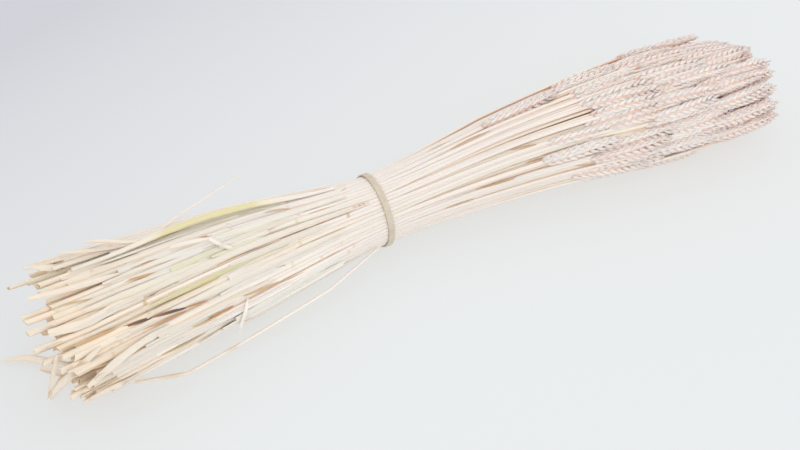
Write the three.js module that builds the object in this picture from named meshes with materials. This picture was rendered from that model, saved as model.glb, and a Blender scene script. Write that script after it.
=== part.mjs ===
// A bundle of dried, bleached wheat: ninety-one stalks with their ears, held by one flat rubber band, lying down.
// Millimetres. X runs from the cut ends to the ears and is 0 at the band while building, Z is up.
import * as THREE from "three";

// Stalks stand in rings round a middle one, as they pack when a round handful is tied
const ringCount = 5;
const pitch = 5.3;
const packRadius = ringCount * pitch;
const bundleRadius = packRadius + 2.3;
const pairGap = 0.22;
const pressedHalf = 9;

// Course of the outermost stalks: half widths, middle and lowest height at stations along the bundle
const outline = [
  { x: -255, halfWidth: 59, halfHeight: 35, sideways: -13, lowest: 3 },
  { x: -120, halfWidth: 43, halfHeight: 34, sideways: -6, lowest: 5 },
  { x: 0, halfWidth: 26.5, halfHeight: 26.5, sideways: 2, lowest: 7.4 },
  { x: 130, halfWidth: 37, halfHeight: 33, sideways: 6, lowest: 6 },
  { x: 270, halfWidth: 53.5, halfHeight: 39, sideways: 0, lowest: 5.2 },
  { x: 400, halfWidth: 54, halfHeight: 35, sideways: 2, lowest: 5.2 },
];

// Stems: sheathed and thick below the band, bare and thin above it
const cutEndX = -255;
const cutEndStagger = 30;
const sheathedRadius = 2.45;
const bareRadius = 1.9;
const neckRadius = 1.35;
const stemStations = [-130, 95, 200];
const wanderAcross = 1.7;
const wanderUp = 0.9;
const wanderReach = 110;
const headWander = 0.5;

// Ears: three tiers along the head, one for each of the three colours of the packing
const tipX = 394;
const tierStep = 56;
const headRounding = 24;
const tipJitter = 8;
const earLength = 72;
const earLengthJitter = 5;
const earHalfWidth = 5.3;
const earHalfThickness = 3.5;
const rachisHalfWidth = 2;
const earTurn = 0.28;
const outerSpikelets = 8;
const innerSpikelets = 4;
const spikeletPart = 0.94;
const earlyEvery = 9;
const earlyStep = 46;
const earlyStandOff = 3.5;

// Rubber band
const bandWidth = 5;
const bandThickness = 1.2;
const bandGap = 0.35;
const bandSegments = 48;

// Loose leaf sheaths and blades
const bladeThickness = 0.8;
const bladeGap = 0.35;
const bladeSeat = sheathedRadius + 0.5 + bladeGap + bladeThickness / 2;
const sheathWidth = 5.4;
const sheathCount = 7;
const bulgingSheath = 4;
const bulgeHeight = 5;

// Torn sheaths that carry on past the cut ends: the stalk end each hangs from, as across and up in
// the packing, then its course from there and its width
const tails = [
  { from: [-0.5, -0.87], width: 5, course: [[-5, 0, 0], [-14, 7, -2], [-28, 22, -4], [-40, 34, -5]] },
  { from: [-0.1, -1], width: 5, course: [[-5, 0, 0], [-12, -6, -1], [-22, -16, -2]] },
  { from: [0.75, 0.7], width: 4, course: [[-9, 1, 3], [-20, 2, 4]] },
  { from: [0.5, 0.87], width: 5, course: [[-8, 1, 3], [-17, 4, 5]] },
  { from: [0.9, 0.35], width: 3, course: [[-10, 1, 0], [-19, 1, 1]] },
];

// Strays that stand off the bundle: where on it they are seated, and their course from there
const kinkedStraw = {
  from: [-0.9, -0.42],
  x: -12,
  sink: 0,
  width: 2.4,
  course: [[-48, -16, -7], [-126, -29, -14], [-149, -31, -17], [-168, -33, -19], [-204, -22, -21]],
};
const thinBlade = {
  from: [0.5, 0.87],
  x: -166,
  sink: 0.8,
  width: 1.4,
  course: [[14, 4, 4], [31, 8, 6.5], [71, 20, 9]],
};

const seed = 12;

const straw = { color: 0xf0e2c8, roughness: 0.72, metalness: 0 };
const leaf = { color: 0xf3ecda, roughness: 0.78, metalness: 0 };
const rubber = { color: 0xc9bfa6, roughness: 0.55, metalness: 0 };

// Seeded draws between -1 and 1
let drawState = seed;
function draw() {
  drawState = (drawState * 1664525 + 1013904223) % 4294967296;
  return (drawState / 4294967296) * 2 - 1;
}

// Smooth course through the stations of the outline
function slopeAt(index, key) {
  const before = outline[Math.max(index - 1, 0)];
  const after = outline[Math.min(index + 1, outline.length - 1)];
  return (after[key] - before[key]) / (after.x - before.x);
}

function outlineAt(x, key) {
  const last = outline.length - 2;
  let index = 0;
  while (index < last && x > outline[index + 1].x) {
    index += 1;
  }
  const from = outline[index];
  const to = outline[index + 1];
  const span = to.x - from.x;
  const t = Math.min(Math.max((x - from.x) / span, 0), 1);
  const blend = t * t * (3 - 2 * t);
  const bow = t * (1 - t) * span * ((1 - t) * slopeAt(index, key) - t * slopeAt(index + 1, key));
  return from[key] + (to[key] - from[key]) * blend + bow;
}

// Packing: a site of the hexagonal lattice, moved out to a round ring
const steps = [[1, 0], [0, 1], [-1, 1], [-1, 0], [0, -1], [1, -1]];

function packedPlace([a, b]) {
  const ring = Math.max(Math.abs(a), Math.abs(b), Math.abs(a + b));
  if (ring === 0) {
    return new THREE.Vector2(0, 0);
  }
  const across = a + b / 2;
  const up = (b * Math.sqrt(3)) / 2;
  const side = Math.floor(Math.atan2(up, across) / (Math.PI / 3) + 1e-6);
  const corner = (side * Math.PI) / 3;
  const along = (Math.cos(corner) * up - Math.sin(corner) * across) / (ring * Math.sin(Math.PI / 3));
  const angle = corner + (along * Math.PI) / 3;
  return new THREE.Vector2(Math.cos(angle), Math.sin(angle)).multiplyScalar(ring * pitch);
}

function siteKey([a, b]) {
  return `${a},${b}`;
}

function neighbour([a, b], direction) {
  const [da, db] = steps[direction % 6];
  return [a + da, b + db];
}

function ringSites(ring) {
  const sites = [];
  for (let side = 0; side < 6; side += 1) {
    for (let place = 0; place < ring; place += 1) {
      const [a0, b0] = steps[side];
      const [a1, b1] = steps[(side + 1) % 6];
      sites.push([(ring - place) * a0 + place * a1, (ring - place) * b0 + place * b1]);
    }
  }
  return sites;
}

// A stalk: its site, and the draws that set its wander, its ends and its ear
function newStalk(site) {
  const place = packedPlace(site);
  const ring = place.length() / pitch;
  const tier = (((site[0] - site[1]) % 3) + 3) % 3;
  const stalk = { site, place, ring, tier };
  stalk.angles = steps.map((_, direction) => cornerAngle(site, place, direction));
  stalk.wanderRear = new THREE.Vector2(draw() * wanderAcross, draw() * wanderUp);
  stalk.wanderFore = new THREE.Vector2(draw() * wanderAcross, draw() * wanderUp).multiplyScalar(headWander);
  stalk.cutX = cutEndX + cutEndStagger * Math.abs(draw());
  const rounding = headRounding * (ring / ringCount) ** 2;
  stalk.earTip = tipX - tierStep * tier - rounding + tipJitter * (draw() - 1);
  stalk.earBase = stalk.earTip - earLength - earLengthJitter * draw();
  stalk.turn = place.angle() + Math.PI / 2 + earTurn * draw();
  return stalk;
}

function cornerPlace(site, direction) {
  const around = [site, neighbour(site, direction), neighbour(site, direction + 1)];
  const sum = new THREE.Vector2();
  around.forEach((member) => sum.add(packedPlace(member)));
  return { around, place: sum.divideScalar(3).clampLength(0, bundleRadius) };
}

function cornerAngle(site, place, direction) {
  return cornerPlace(site, direction).place.sub(place).angle();
}

// Middle of a stalk at x, in the spread of the whole bundle
function stalkMiddle(stalk, x) {
  const wander = x < 0 ? stalk.wanderRear : stalk.wanderFore;
  const away = Math.min(Math.abs(x) / wanderReach, 1);
  const lowest = outlineAt(x, "lowest");
  const halfHeight = outlineAt(x, "halfHeight");
  const y = (stalk.place.x / packRadius) * outlineAt(x, "halfWidth") + wander.x * away;
  const z = lowest + halfHeight * (1 + stalk.place.y / packRadius) + wander.y * away;
  return new THREE.Vector3(x, y + outlineAt(x, "sideways"), Math.max(z, lowest));
}

// A closed surface as it is put together
function newSurface() {
  return { points: [], faces: [] };
}

function addPoint(surface, point) {
  surface.points.push(point.x, point.y, point.z);
  return surface.points.length / 3 - 1;
}

function addStrip(surface, rear, fore) {
  const count = rear.length;
  for (let i = 0; i < count; i += 1) {
    const next = (i + 1) % count;
    surface.faces.push(rear[i], rear[next], fore[next], rear[i], fore[next], fore[i]);
  }
}

function addCap(surface, loop) {
  for (let i = 1; i < loop.length - 1; i += 1) {
    surface.faces.push(loop[0], loop[i + 1], loop[i]);
  }
}

function stemLoop(surface, stalk, x, radius) {
  const middle = stalkMiddle(stalk, x);
  return stalk.angles.map((angle) => {
    const offset = new THREE.Vector3(0, Math.cos(angle) * radius, Math.sin(angle) * radius);
    return addPoint(surface, offset.add(middle));
  });
}

// Corners of a stalk's cell where the band presses the stalks together
function pressedLoop(surface, stalk, members, x) {
  const shift = new THREE.Vector3(x, outlineAt(x, "sideways"), 0);
  shift.z = outlineAt(x, "lowest") + packRadius;
  return steps.map((_, direction) => {
    const { around, place } = cornerPlace(stalk.site, direction);
    const own = around.filter((site) => members.has(siteKey(site)));
    if (own.length < 3) {
      const inside = new THREE.Vector2();
      own.forEach((site) => inside.add(packedPlace(site)));
      inside.divideScalar(own.length).sub(place).setLength(pairGap);
      place.add(inside);
    }
    return addPoint(surface, new THREE.Vector3(0, place.x, place.y).add(shift));
  });
}

function addPressedWalls(surface, stalk, members, rear, fore) {
  for (let i = 0; i < 6; i += 1) {
    const next = (i + 1) % 6;
    if (!members.has(siteKey(neighbour(stalk.site, i + 1)))) {
      surface.faces.push(rear[i], rear[next], fore[next], rear[i], fore[next], fore[i]);
    }
  }
}

// Ear: a flat rachis with a keeled spikelet raised on each side by turns
function earPoint(stalk, x, across, through) {
  const middle = stalkMiddle(stalk, x);
  const turnCos = Math.cos(stalk.turn);
  const turnSin = Math.sin(stalk.turn);
  middle.y += across * turnCos - through * turnSin;
  middle.z += across * turnSin + through * turnCos;
  return middle;
}

function earSwell(part) {
  return 0.45 + 0.55 * Math.sin(Math.PI * Math.min(0.16 + 0.84 * part, 1)) ** 0.6;
}

function addSpikelet(surface, rear, fore, keel, tip) {
  const [rearLow, rearHigh] = rear;
  const [foreLow, foreHigh] = fore;
  surface.faces.push(rearLow, keel, rearHigh, keel, tip, rearHigh, rearHigh, tip, foreHigh);
  surface.faces.push(foreHigh, tip, foreLow, rearLow, foreLow, tip, rearLow, tip, keel);
}

function addEar(surface, stalk, spikelets) {
  const length = stalk.earTip - stalk.earBase;
  const step = spikeletPart / (spikelets + 0.5);
  const spot = (part, across, through) => {
    const x = stalk.earBase + part * length;
    const swell = earSwell(part);
    return addPoint(surface, earPoint(stalk, x, across * swell, through * swell));
  };
  const sides = [-1, 1].map((side) => {
    const levels = [];
    for (let k = 0; k <= spikelets; k += 1) {
      const part = step * (k + (side + 1) / 4);
      const low = spot(part, side * rachisHalfWidth, -earHalfThickness);
      const high = spot(part, side * rachisHalfWidth, earHalfThickness);
      levels.push({ part, low, high });
    }
    for (let k = 0; k < spikelets; k += 1) {
      const { part } = levels[k];
      const keel = spot(part + 0.45 * step, side * earHalfWidth * 0.85, 0);
      const tip = spot(part + 1.35 * step, side * earHalfWidth, 0);
      const rear = [levels[k].low, levels[k].high];
      const fore = [levels[k + 1].low, levels[k + 1].high];
      if (side > 0) {
        rear.reverse();
        fore.reverse();
      }
      addSpikelet(surface, rear, fore, keel, tip);
    }
    return levels;
  });
  const [left, right] = sides;
  for (let k = 0; k < spikelets; k += 1) {
    const [l0, l1, r0, r1] = [left[k], left[k + 1], right[k], right[k + 1]];
    surface.faces.push(l0.high, l1.high, r0.high, l1.high, r1.high, r0.high);
    surface.faces.push(l1.low, l0.low, r0.low, r1.low, l1.low, r0.low);
  }
  const tip = addPoint(surface, stalkMiddle(stalk, stalk.earTip));
  const [lastLeft, lastRight] = [left[spikelets], right[spikelets]];
  const end = [lastRight.high, lastLeft.high, lastLeft.low, lastRight.low];
  end.forEach((point, i) => surface.faces.push(point, end[(i + 1) % 4], tip));
  return [right[0].high, left[0].high, left[0].low, right[0].low];
}

// Joins the neck of a stem to the foot of its ear, two loops with different numbers of corners
function addNeck(surface, stalk, neck, foot) {
  const footAngle = Math.atan2(earHalfThickness, rachisHalfWidth);
  const footAngles = [footAngle, Math.PI - footAngle, Math.PI + footAngle, -footAngle];
  const turned = footAngles.map((angle) => angle + stalk.turn);
  const fromStart = (angle) => THREE.MathUtils.euclideanModulo(angle - stalk.angles[0], Math.PI * 2);
  const byAngle = turned.map((angle, i) => ({ point: foot[i], angle: fromStart(angle) }));
  byAngle.sort((one, other) => one.angle - other.angle);
  const neckAngles = stalk.angles.map(fromStart);
  let n = 0;
  let f = 0;
  while (n < 6 || f < 4) {
    const nextNeck = n < 5 ? neckAngles[n + 1] : n < 6 ? Math.PI * 2 : Infinity;
    const nextFoot = f < 3 ? byAngle[f + 1].angle : f < 4 ? byAngle[0].angle + Math.PI * 2 : Infinity;
    const neckHere = neck[n % 6];
    const footHere = byAngle[f % 4].point;
    if (nextNeck < nextFoot) {
      surface.faces.push(neckHere, neck[(n + 1) % 6], footHere);
      n += 1;
    } else {
      surface.faces.push(neckHere, byAngle[(f + 1) % 4].point, footHere);
      f += 1;
    }
  }
}

function stemRadius(x) {
  if (x < 0) {
    return sheathedRadius;
  }
  return THREE.MathUtils.lerp(bareRadius, neckRadius, Math.min(x / 200, 1));
}

function addStalk(surface, stalk, members) {
  const rearX = [stalk.cutX, ...stemStations.filter((x) => x < 0)];
  const neckX = stalk.earBase - 4;
  const foreX = [...stemStations.filter((x) => x > 0 && x < neckX - 20), neckX];
  const rear = rearX.map((x) => stemLoop(surface, stalk, x, stemRadius(x)));
  const fore = foreX.map((x) => stemLoop(surface, stalk, x, stemRadius(x)));
  const pressedRear = pressedLoop(surface, stalk, members, -pressedHalf);
  const pressedFore = pressedLoop(surface, stalk, members, pressedHalf);
  addCap(surface, rear[0]);
  const rearLoops = [...rear, pressedRear];
  rearLoops.slice(1).forEach((loop, i) => addStrip(surface, rearLoops[i], loop));
  addPressedWalls(surface, stalk, members, pressedRear, pressedFore);
  const foreLoops = [pressedFore, ...fore];
  foreLoops.slice(1).forEach((loop, i) => addStrip(surface, foreLoops[i], loop));
  const spikelets = stalk.ring > ringCount - 1.5 ? outerSpikelets : innerSpikelets;
  const foot = addEar(surface, stalk, spikelets);
  addNeck(surface, stalk, foreLoops[foreLoops.length - 1], foot);
}

function toMesh(surface, name, finish) {
  const geometry = new THREE.BufferGeometry();
  geometry.setAttribute("position", new THREE.Float32BufferAttribute(surface.points, 3));
  geometry.setIndex(surface.faces);
  const mesh = new THREE.Mesh(geometry, new THREE.MeshStandardMaterial(finish));
  mesh.name = name;
  return mesh;
}

function numbered(name, number) {
  return `${name}_${String(number).padStart(2, "0")}`;
}

// Stalks, two to a node, and three in the middle one
function makeStalks() {
  const rings = [];
  for (let ring = 1; ring <= ringCount; ring += 1) {
    rings.push(ringSites(ring).map(newStalk));
  }
  const outer = rings[ringCount - 1];
  outer.filter((_, i) => i % earlyEvery === 4).forEach((stalk) => {
    stalk.earTip -= earlyStep;
    stalk.earBase -= earlyStep;
    stalk.wanderFore.copy(stalk.place).setLength(earlyStandOff);
  });
  const groups = [];
  rings.forEach((stalks) => {
    for (let i = 0; i < stalks.length; i += 2) {
      groups.push([stalks[i], stalks[i + 1]]);
    }
  });
  groups[0].unshift(newStalk([0, 0]));
  return groups;
}

function makeStalkNodes(groups) {
  return groups.map((group, i) => {
    const members = new Set(group.map((stalk) => siteKey(stalk.site)));
    const surface = newSurface();
    group.forEach((stalk) => addStalk(surface, stalk, members));
    return toMesh(surface, numbered("stalks", i + 1), straw);
  });
}

// Rubber band: a flat ring closed on itself
function makeBand() {
  const inner = bundleRadius + bandGap;
  const surface = newSurface();
  const section = [[-1, 0], [1, 0], [1, 1], [-1, 1]];
  const middle = new THREE.Vector3(0, outlineAt(0, "sideways"), outlineAt(0, "lowest") + packRadius);
  const loops = [];
  for (let i = 0; i < bandSegments; i += 1) {
    const angle = (i / bandSegments) * Math.PI * 2;
    loops.push(section.map(([along, out]) => {
      const radius = inner + out * bandThickness;
      const offset = new THREE.Vector3((along * bandWidth) / 2, Math.cos(angle) * radius, Math.sin(angle) * radius);
      return addPoint(surface, offset.add(middle));
    }));
  }
  loops.forEach((loop, i) => addStrip(surface, loop, loops[(i + 1) % bandSegments]));
  return toMesh(surface, "band", rubber);
}

// Blade: a flat ribbon along a course, as wide as given at each point
function makeBlade(name, course, widths, across) {
  const surface = newSurface();
  const loops = course.map((point, i) => {
    const before = course[Math.max(i - 1, 0)];
    const after = course[Math.min(i + 1, course.length - 1)];
    const along = after.clone().sub(before).normalize();
    const half = across[i].clone().projectOnPlane(along).setLength(widths[i] / 2);
    const up = along.clone().cross(half).setLength(bladeThickness / 2);
    const corners = [[-1, -1], [1, -1], [1, 1], [-1, 1]];
    return corners.map(([w, u]) => addPoint(surface, point.clone().addScaledVector(half, w).addScaledVector(up, u)));
  });
  loops.slice(1).forEach((fore, i) => {
    const rear = loops[i];
    addStrip(surface, rear, fore);
    // The lower face is split along the same line as the upper one, so the blade keeps its thickness
    const start = surface.faces.length - 24;
    surface.faces.splice(start, 6, rear[0], rear[1], fore[0], rear[1], fore[1], fore[0]);
  });
  addCap(surface, loops[0]);
  addCap(surface, [...loops[loops.length - 1]].reverse());
  return toMesh(surface, name, leaf);
}

function outwardOf(stalk) {
  return new THREE.Vector3(0, stalk.place.x, stalk.place.y).normalize();
}

// Sheath that lies along an outer stalk, between the band and the cut ends
function makeSheath(number, stalk) {
  const outward = outwardOf(stalk);
  const aside = new THREE.Vector3(0, -outward.z, outward.y);
  const start = -24 - 16 * Math.abs(draw());
  const end = stalk.cutX + 20 + 20 * Math.abs(draw());
  const bulge = number === bulgingSheath ? bulgeHeight : 0;
  const course = [];
  const widths = [];
  for (let i = 0; i <= 6; i += 1) {
    const part = i / 6;
    const stand = bladeSeat + bulge * Math.sin(Math.PI * part) ** 2;
    course.push(stalkMiddle(stalk, start + (end - start) * part).addScaledVector(outward, stand));
    widths.push(sheathWidth * (0.6 + 0.4 * Math.sin(Math.PI * (0.15 + 0.7 * part))));
  }
  return makeBlade(numbered("sheath", number), course, widths, course.map(() => aside));
}

function nearestStalk(stalks, across, up) {
  const target = new THREE.Vector2(across, up).multiplyScalar(packRadius);
  const distance = (stalk) => stalk.place.distanceTo(target);
  return stalks.reduce((best, stalk) => (distance(stalk) < distance(best) ? stalk : best));
}

function courseFrom(start, course) {
  const points = [start, ...course.map((step) => start.clone().add(new THREE.Vector3(...step)))];
  points.forEach((point) => {
    point.z = Math.max(point.z, bladeThickness);
  });
  return points;
}

function makeTail(number, stalks, { from, width, course }) {
  const stalk = nearestStalk(stalks, ...from);
  const start = stalkMiddle(stalk, stalk.cutX);
  start.x -= 2.6 * bladeGap;
  const points = courseFrom(start, course);
  const widths = points.map((_, i) => width * (1 - (0.75 * i) / (points.length - 1)));
  const level = new THREE.Vector3(0, 1, 0.15);
  return makeBlade(numbered("tail", number), points, widths, points.map(() => level));
}

function makeStray(name, stalks, { from, x, sink, width, course }) {
  const stalk = nearestStalk(stalks, ...from);
  const seat = stalkMiddle(stalk, x).addScaledVector(outwardOf(stalk), bladeSeat - sink);
  const points = courseFrom(seat, course);
  const level = new THREE.Vector3(0, 1, 0.3);
  return makeBlade(name, points, points.map(() => width), points.map(() => level));
}

const group = new THREE.Group();
group.name = "wheat_bundle";
const stalkGroups = makeStalks();
makeStalkNodes(stalkGroups).forEach((mesh) => group.add(mesh));
group.add(makeBand());
const outerStalks = stalkGroups.slice(-ringCount * 3).flat();
for (let number = 1; number <= sheathCount; number += 1) {
  group.add(makeSheath(number, outerStalks[(28 + number * 2) % outerStalks.length]));
}
tails.forEach((tail, i) => group.add(makeTail(i + 1, outerStalks, tail)));
group.add(makeStray("kinked_straw", outerStalks, kinkedStraw));
group.add(makeStray("thin_blade", outerStalks, thinBlade));

// The frame's origin is the middle of the foot of the bundle's box
const box = new THREE.Box3().setFromObject(group);
const centre = box.getCenter(new THREE.Vector3());
group.position.set(-centre.x, -centre.y, -box.min.z);
group.updateMatrixWorld(true);

export default group;
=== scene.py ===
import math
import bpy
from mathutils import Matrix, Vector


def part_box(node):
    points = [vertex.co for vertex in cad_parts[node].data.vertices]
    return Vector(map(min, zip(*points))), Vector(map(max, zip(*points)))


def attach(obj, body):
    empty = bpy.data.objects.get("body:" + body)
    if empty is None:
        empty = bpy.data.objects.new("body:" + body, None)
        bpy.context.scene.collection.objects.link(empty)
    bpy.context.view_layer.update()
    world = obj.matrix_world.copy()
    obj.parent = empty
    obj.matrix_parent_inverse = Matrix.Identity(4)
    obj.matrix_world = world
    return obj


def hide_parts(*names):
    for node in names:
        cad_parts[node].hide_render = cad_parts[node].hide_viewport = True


bl_info = {
    "name": "Dried Wheat Bundle",
    "version": (1, 0, 0),
    "blender": (4, 5, 0),
    "location": "3D View > Sidebar > Wheat",
    "description": "Builds a bundle of dried, bleached wheat tied with a flat rubber band",
    "category": "Object",
}

import bpy
import numpy as np
from mathutils import Euler, Matrix, Vector

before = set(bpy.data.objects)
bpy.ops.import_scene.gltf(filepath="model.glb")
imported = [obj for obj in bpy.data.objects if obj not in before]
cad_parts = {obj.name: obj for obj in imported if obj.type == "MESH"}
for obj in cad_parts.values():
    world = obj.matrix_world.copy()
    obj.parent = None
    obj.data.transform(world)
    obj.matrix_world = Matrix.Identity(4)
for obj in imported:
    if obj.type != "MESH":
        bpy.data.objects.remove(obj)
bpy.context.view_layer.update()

# Packing of the stalks under the band, as in the solids
RING_COUNT = 5
PITCH = 0.0053
PACK_RADIUS = RING_COUNT * PITCH
SEED = 12

# Course of the outermost stalks at stations along the bundle, with the band at 0
STATIONS = {
    "x": (-0.255, -0.120, 0.0, 0.130, 0.270, 0.400),
    "half_width": (0.059, 0.043, 0.0265, 0.037, 0.0535, 0.054),
    "half_height": (0.035, 0.034, 0.0265, 0.033, 0.039, 0.035),
    "sideways": (-0.013, -0.006, 0.002, 0.006, 0.0, 0.002),
    "lowest": (0.003, 0.005, 0.0074, 0.006, 0.0052, 0.0052),
}

# Draws of each stalk, as in the solids
CUT_END_X = -0.255
CUT_END_STAGGER = 0.030
WANDER_ACROSS = 0.0017
WANDER_UP = 0.0009
WANDER_REACH = 0.110
HEAD_WANDER = 0.5
TIP_X = 0.394
TIER_STEP = 0.056
HEAD_ROUNDING = 0.024
TIP_JITTER = 0.008
EAR_LENGTH = 0.072
EAR_LENGTH_JITTER = 0.005
EAR_TURN = 0.28
EARLY_EVERY = 9
EARLY_STEP = 0.046
EARLY_STAND_OFF = 0.0035

# Leaf sheaths of the solids, with the one that bulges, and how far they stand off their stalk's middle
SHEATH_COUNT = 7
BULGING_SHEATH = 4
BULGE_HEIGHT = 0.005
SHEATH_WIDTH = 0.0054
SHEATH_SEAT = 0.0037

# Torn sheaths past the cut ends: the stalk each hangs from, its width and its course in millimetres
TAILS = (
    ((-0.5, -0.87), 5, ((-5, 0, 0), (-14, 7, -2), (-28, 22, -4), (-40, 34, -5))),
    ((-0.1, -1.0), 5, ((-5, 0, 0), (-12, -6, -1), (-22, -16, -2))),
    ((0.75, 0.7), 4, ((-9, 1, 3), (-20, 2, 4))),
    ((0.5, 0.87), 5, ((-8, 1, 3), (-17, 4, 5))),
    ((0.9, 0.35), 3, ((-10, 1, 0), (-19, 1, 1))),
)
TAIL_START = 0.00091

# Strays: where they are seated, how deep, their width and their course in millimetres
KINKED_FROM = (-0.9, -0.42)
KINKED_X = -0.012
KINKED_RADIUS = 0.0011
KINKED_ROUNDING = 0.15
KINKED_COURSE = ((-48, -16, -7), (-126, -29, -14), (-149, -31, -17), (-168, -33, -19), (-204, -22, -21))
THIN_FROM = (0.5, 0.87)
THIN_X = -0.166
THIN_SINK = 0.0008
THIN_COURSE = ((14, 4, 4), (31, 8, 6.5), (71, 20, 9))
MM = 0.001

# Loose leaves on the bundle: places as x, angle round it in degrees and height off the straws, then width
# and bluntness
LEAVES_ON_BUNDLE = (
    ("leaf_tip_01", ((-180, 70, 0), (-204, 66, 2), (-222, 63, 5), (-236, 60, 8)), 4.6, 0.55),
    ("leaf_tip_02", ((-176, 72, 0), (-192, 69, 4), (-206, 64, 8), (-218, 60, 10)), 4.0, 0.6),
    ("leaf_fold_01", ((-124, 118, 0.5), (-134, 108, 2.5), (-139, 100, 4)), 3.4, 0.9),
    ("leaf_fold_02", ((-139, 100, 4), (-150, 97, 3.5), (-166, 93, 2.5)), 3.6, 0.75),
    ("leaf_tip_03", ((-205, 96, 0), (-225, 95, 1), (-246, 93, 2), (-266, 91, 3)), 5.2, 0.75),
    ("leaf_tip_04", ((-196, 124, 0), (-215, 122, 1), (-236, 124, 2), (-262, 121, 3)), 6.5, 0.85),
    ("leaf_tip_05", ((-186, 156, 0), (-210, 158, 1.5), (-232, 164, 2), (-250, 172, 2)), 6.0, 0.7),
    ("leaf_tip_06", ((-204, 200, 0), (-222, 196, 1), (-240, 188, 2), (-250, 184, 4)), 5.0, 0.6),
)

# Loose leaves that leave the bundle: places in millimetres from under the band, then width and bluntness
LEAVES_OFF_BUNDLE = (
    ("leaf_stub", ((-127, -51, 46), (-131, -56, 42), (-136, -56, 28), (-138, -55, 20)), 3.0, 0.8),
    ("leaf_fold_03", ((-275, -58, 27), (-272, -58, 35), (-267, -58, 50), (-262, -56, 62)), 3.2, 0.8),
    (
        "leaf_fold_04",
        ((-234, -61, 61), (-242, -64, 59), (-254, -63, 50), (-266, -60, 38), (-275, -58, 27)), 5.4, 0.6,
    ),
    ("leaf_tip_07", ((-236, -34, 15), (-250, -24, 12), (-265, -7, 8), (-280, 8, 5), (-297, 14, 3)), 7.5, 0.12),
)

# Slivers between the straws, partly shrivelled leaf and partly painted shade in the gaps: x and angle at both
# ends, width, how brown from gold to nearly black, and a height for those that lie higher or lower than the
# rest
SLIVERS = (
    (-218, 138.5, -190, 143.5, 2.6, 1.0, 1.4),
    (-197, 142, -170, 148, 2.6, 1.0, 3.1),
    (-258, 134, -208, 139, 2.0, 0.5, 0.4),
    (-177, 146.5, -156, 150.5, 1.5, 0.8, 2.6),
    (-206, 148, -172, 151, 1.6, 0.55),
    (-179, 126, -166, 124, 1.7, 1.0),
    (-246, 89, -221, 93, 2.8, 0.3),
    (-266, 128, -252, 127, 3.4, 0.25),
    (-207, 93, -168, 98, 2.4, 0.6),
    (-212, 103, -177, 109, 2.2, 0.5),
    (-222, 117, -190, 118, 1.8, 0.5),
    (-157, 91, -130, 93, 1.8, 0.6),
    (-146, 125, -115, 125, 2.0, 0.6),
    (-118, 136, -97, 141, 2.4, 0.5),
    (-112, 147, -87, 155, 1.6, 0.6),
    (-92, 85, -72, 89, 1.8, 0.35),
    (-137, 163, -101, 170, 1.8, 0.4),
    (-101, 171, -64, 177, 1.6, 0.45),
    (-131, 187, -92, 192, 1.8, 0.4),
    (-236, 168, -190, 168, 2.6, 0.3),
    (-203, 161, -170, 166, 2.2, 0.35),
    (-232, 178, -196, 180, 2.4, 0.3),
    (-200, 186, -160, 188, 2.4, 0.35),
    (-192, 126, -158, 135, 1.3, 0.6),
    (-246, 160, -196, 167, 1.7, 0.3),
    (-235, 172, -208, 183, 2.6, 0.28),
    (-210, 95, -178, 90, 1.7, 0.4),
    (-255, 102, -226, 107, 1.7, 0.3),
    (-58, 64, -28, 60, 1.3, 0.35),
    (-131, 114, -80, 108, 1.5, 0.35),
    (-184, 130, -141, 138, 1.6, 0.35),
    (-189, 166, -136, 176, 1.5, 0.35),
    (113, 127, 139, 133, 1.2, 0.7, -0.5),
    (121, 150, 136, 150, 1.2, 0.8, -0.5),
    (76, 164, 117, 166, 1.2, 0.55, -0.5),
    (70, 88, 107, 88, 1.2, 0.55, -0.5),
    (150, 86, 192, 79, 1.3, 0.6, -0.5),
    (162, 174, 187, 179, 1.2, 0.6, -0.5),
)
SLIVER_HEIGHT = 0.1
# The drawn slivers lie under the surface of the outer straws, as painted shade in the gaps between them
DRAWN_SLIVERS = 84
DRAWN_SLIVER_HEIGHT = -1.1

# Strip dotted with brown spots: places as x, angle and height, then a width
DOTTED_STRIP = (((-104, 120, 0.5), (-74, 121, 0.9), (-44, 120, 0.9), (-12, 121, 0.3)), 1.9)

# Fillers in rings of their own: the ring and how many, from the outer one in
FILLER_RINGS = ((4.55, 30), (3.6, 12))
FILLER_CUT_ENDS = (-0.262, -0.228)
FILLER_WANDER_REAR = (0.0030, 0.0014)
FILLER_WANDER_FORE = (0.0026, 0.0018)
FILLER_TIP_JITTER = 0.006
FILLER_EAR_LENGTHS = (0.066, 0.075)

# Fillers with an ear far down the stems, the one that reaches furthest back, those that leave a gap, and those
# set in the gaps of the outer ones: angle round the bundle, foot and tip of the ear
LONE_EARS = ((6, 0.103, 0.176), (9, 0.186, 0.255), (11, 0.141, 0.212), (16, 0.158, 0.228))
LONE_EAR_TURN = math.radians(240)
LONGEST_FILLER = 5
LONGEST_CUT_X = -0.275
GAP_FILLERS = ((5, -0.006), (12, 0.005))
PLACED_FILLERS = (
    (111.5, 0.262, 0.334),
    (117, 0.298, 0.372),
    (138, 0.192, 0.262),
    (74, 0.252, 0.322),
    (104.5, 0.240, 0.312),
)
DARK_NODE_FILLER, DARK_NODE_X = 10, -0.197

# Fillers set one by one in the widest gap that is left at these stations
EXTRA_FILLERS = 25
EXTRA_STATIONS = (0.08, 0.22, 0.31, 0.12, 0.26, 0.35, 0.16)
EXTRA_RING = 4.8

# How far straws stray from their course: those of the solids, the fillers and the ones set in gaps
STALK_STRAY = 0.0028
FILLER_STRAY = 0.0045
EXTRA_STRAY = 0.001

# How far ears nod in towards the end of the bundle, either way and aside
NOD_IN = 0.0055
NOD_EITHER_WAY = 0.0022
NOD_ASIDE = 0.0035

# Where round the bundle ears hang lower and straws are cut longer: the angle, its reach and how much
LOWER_EARS = (68, 38, 0.0045)
LONGER_STRAWS = (116, 28, 0.020)
LONGEST_LOOSE_CUT_X = -0.274

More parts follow.
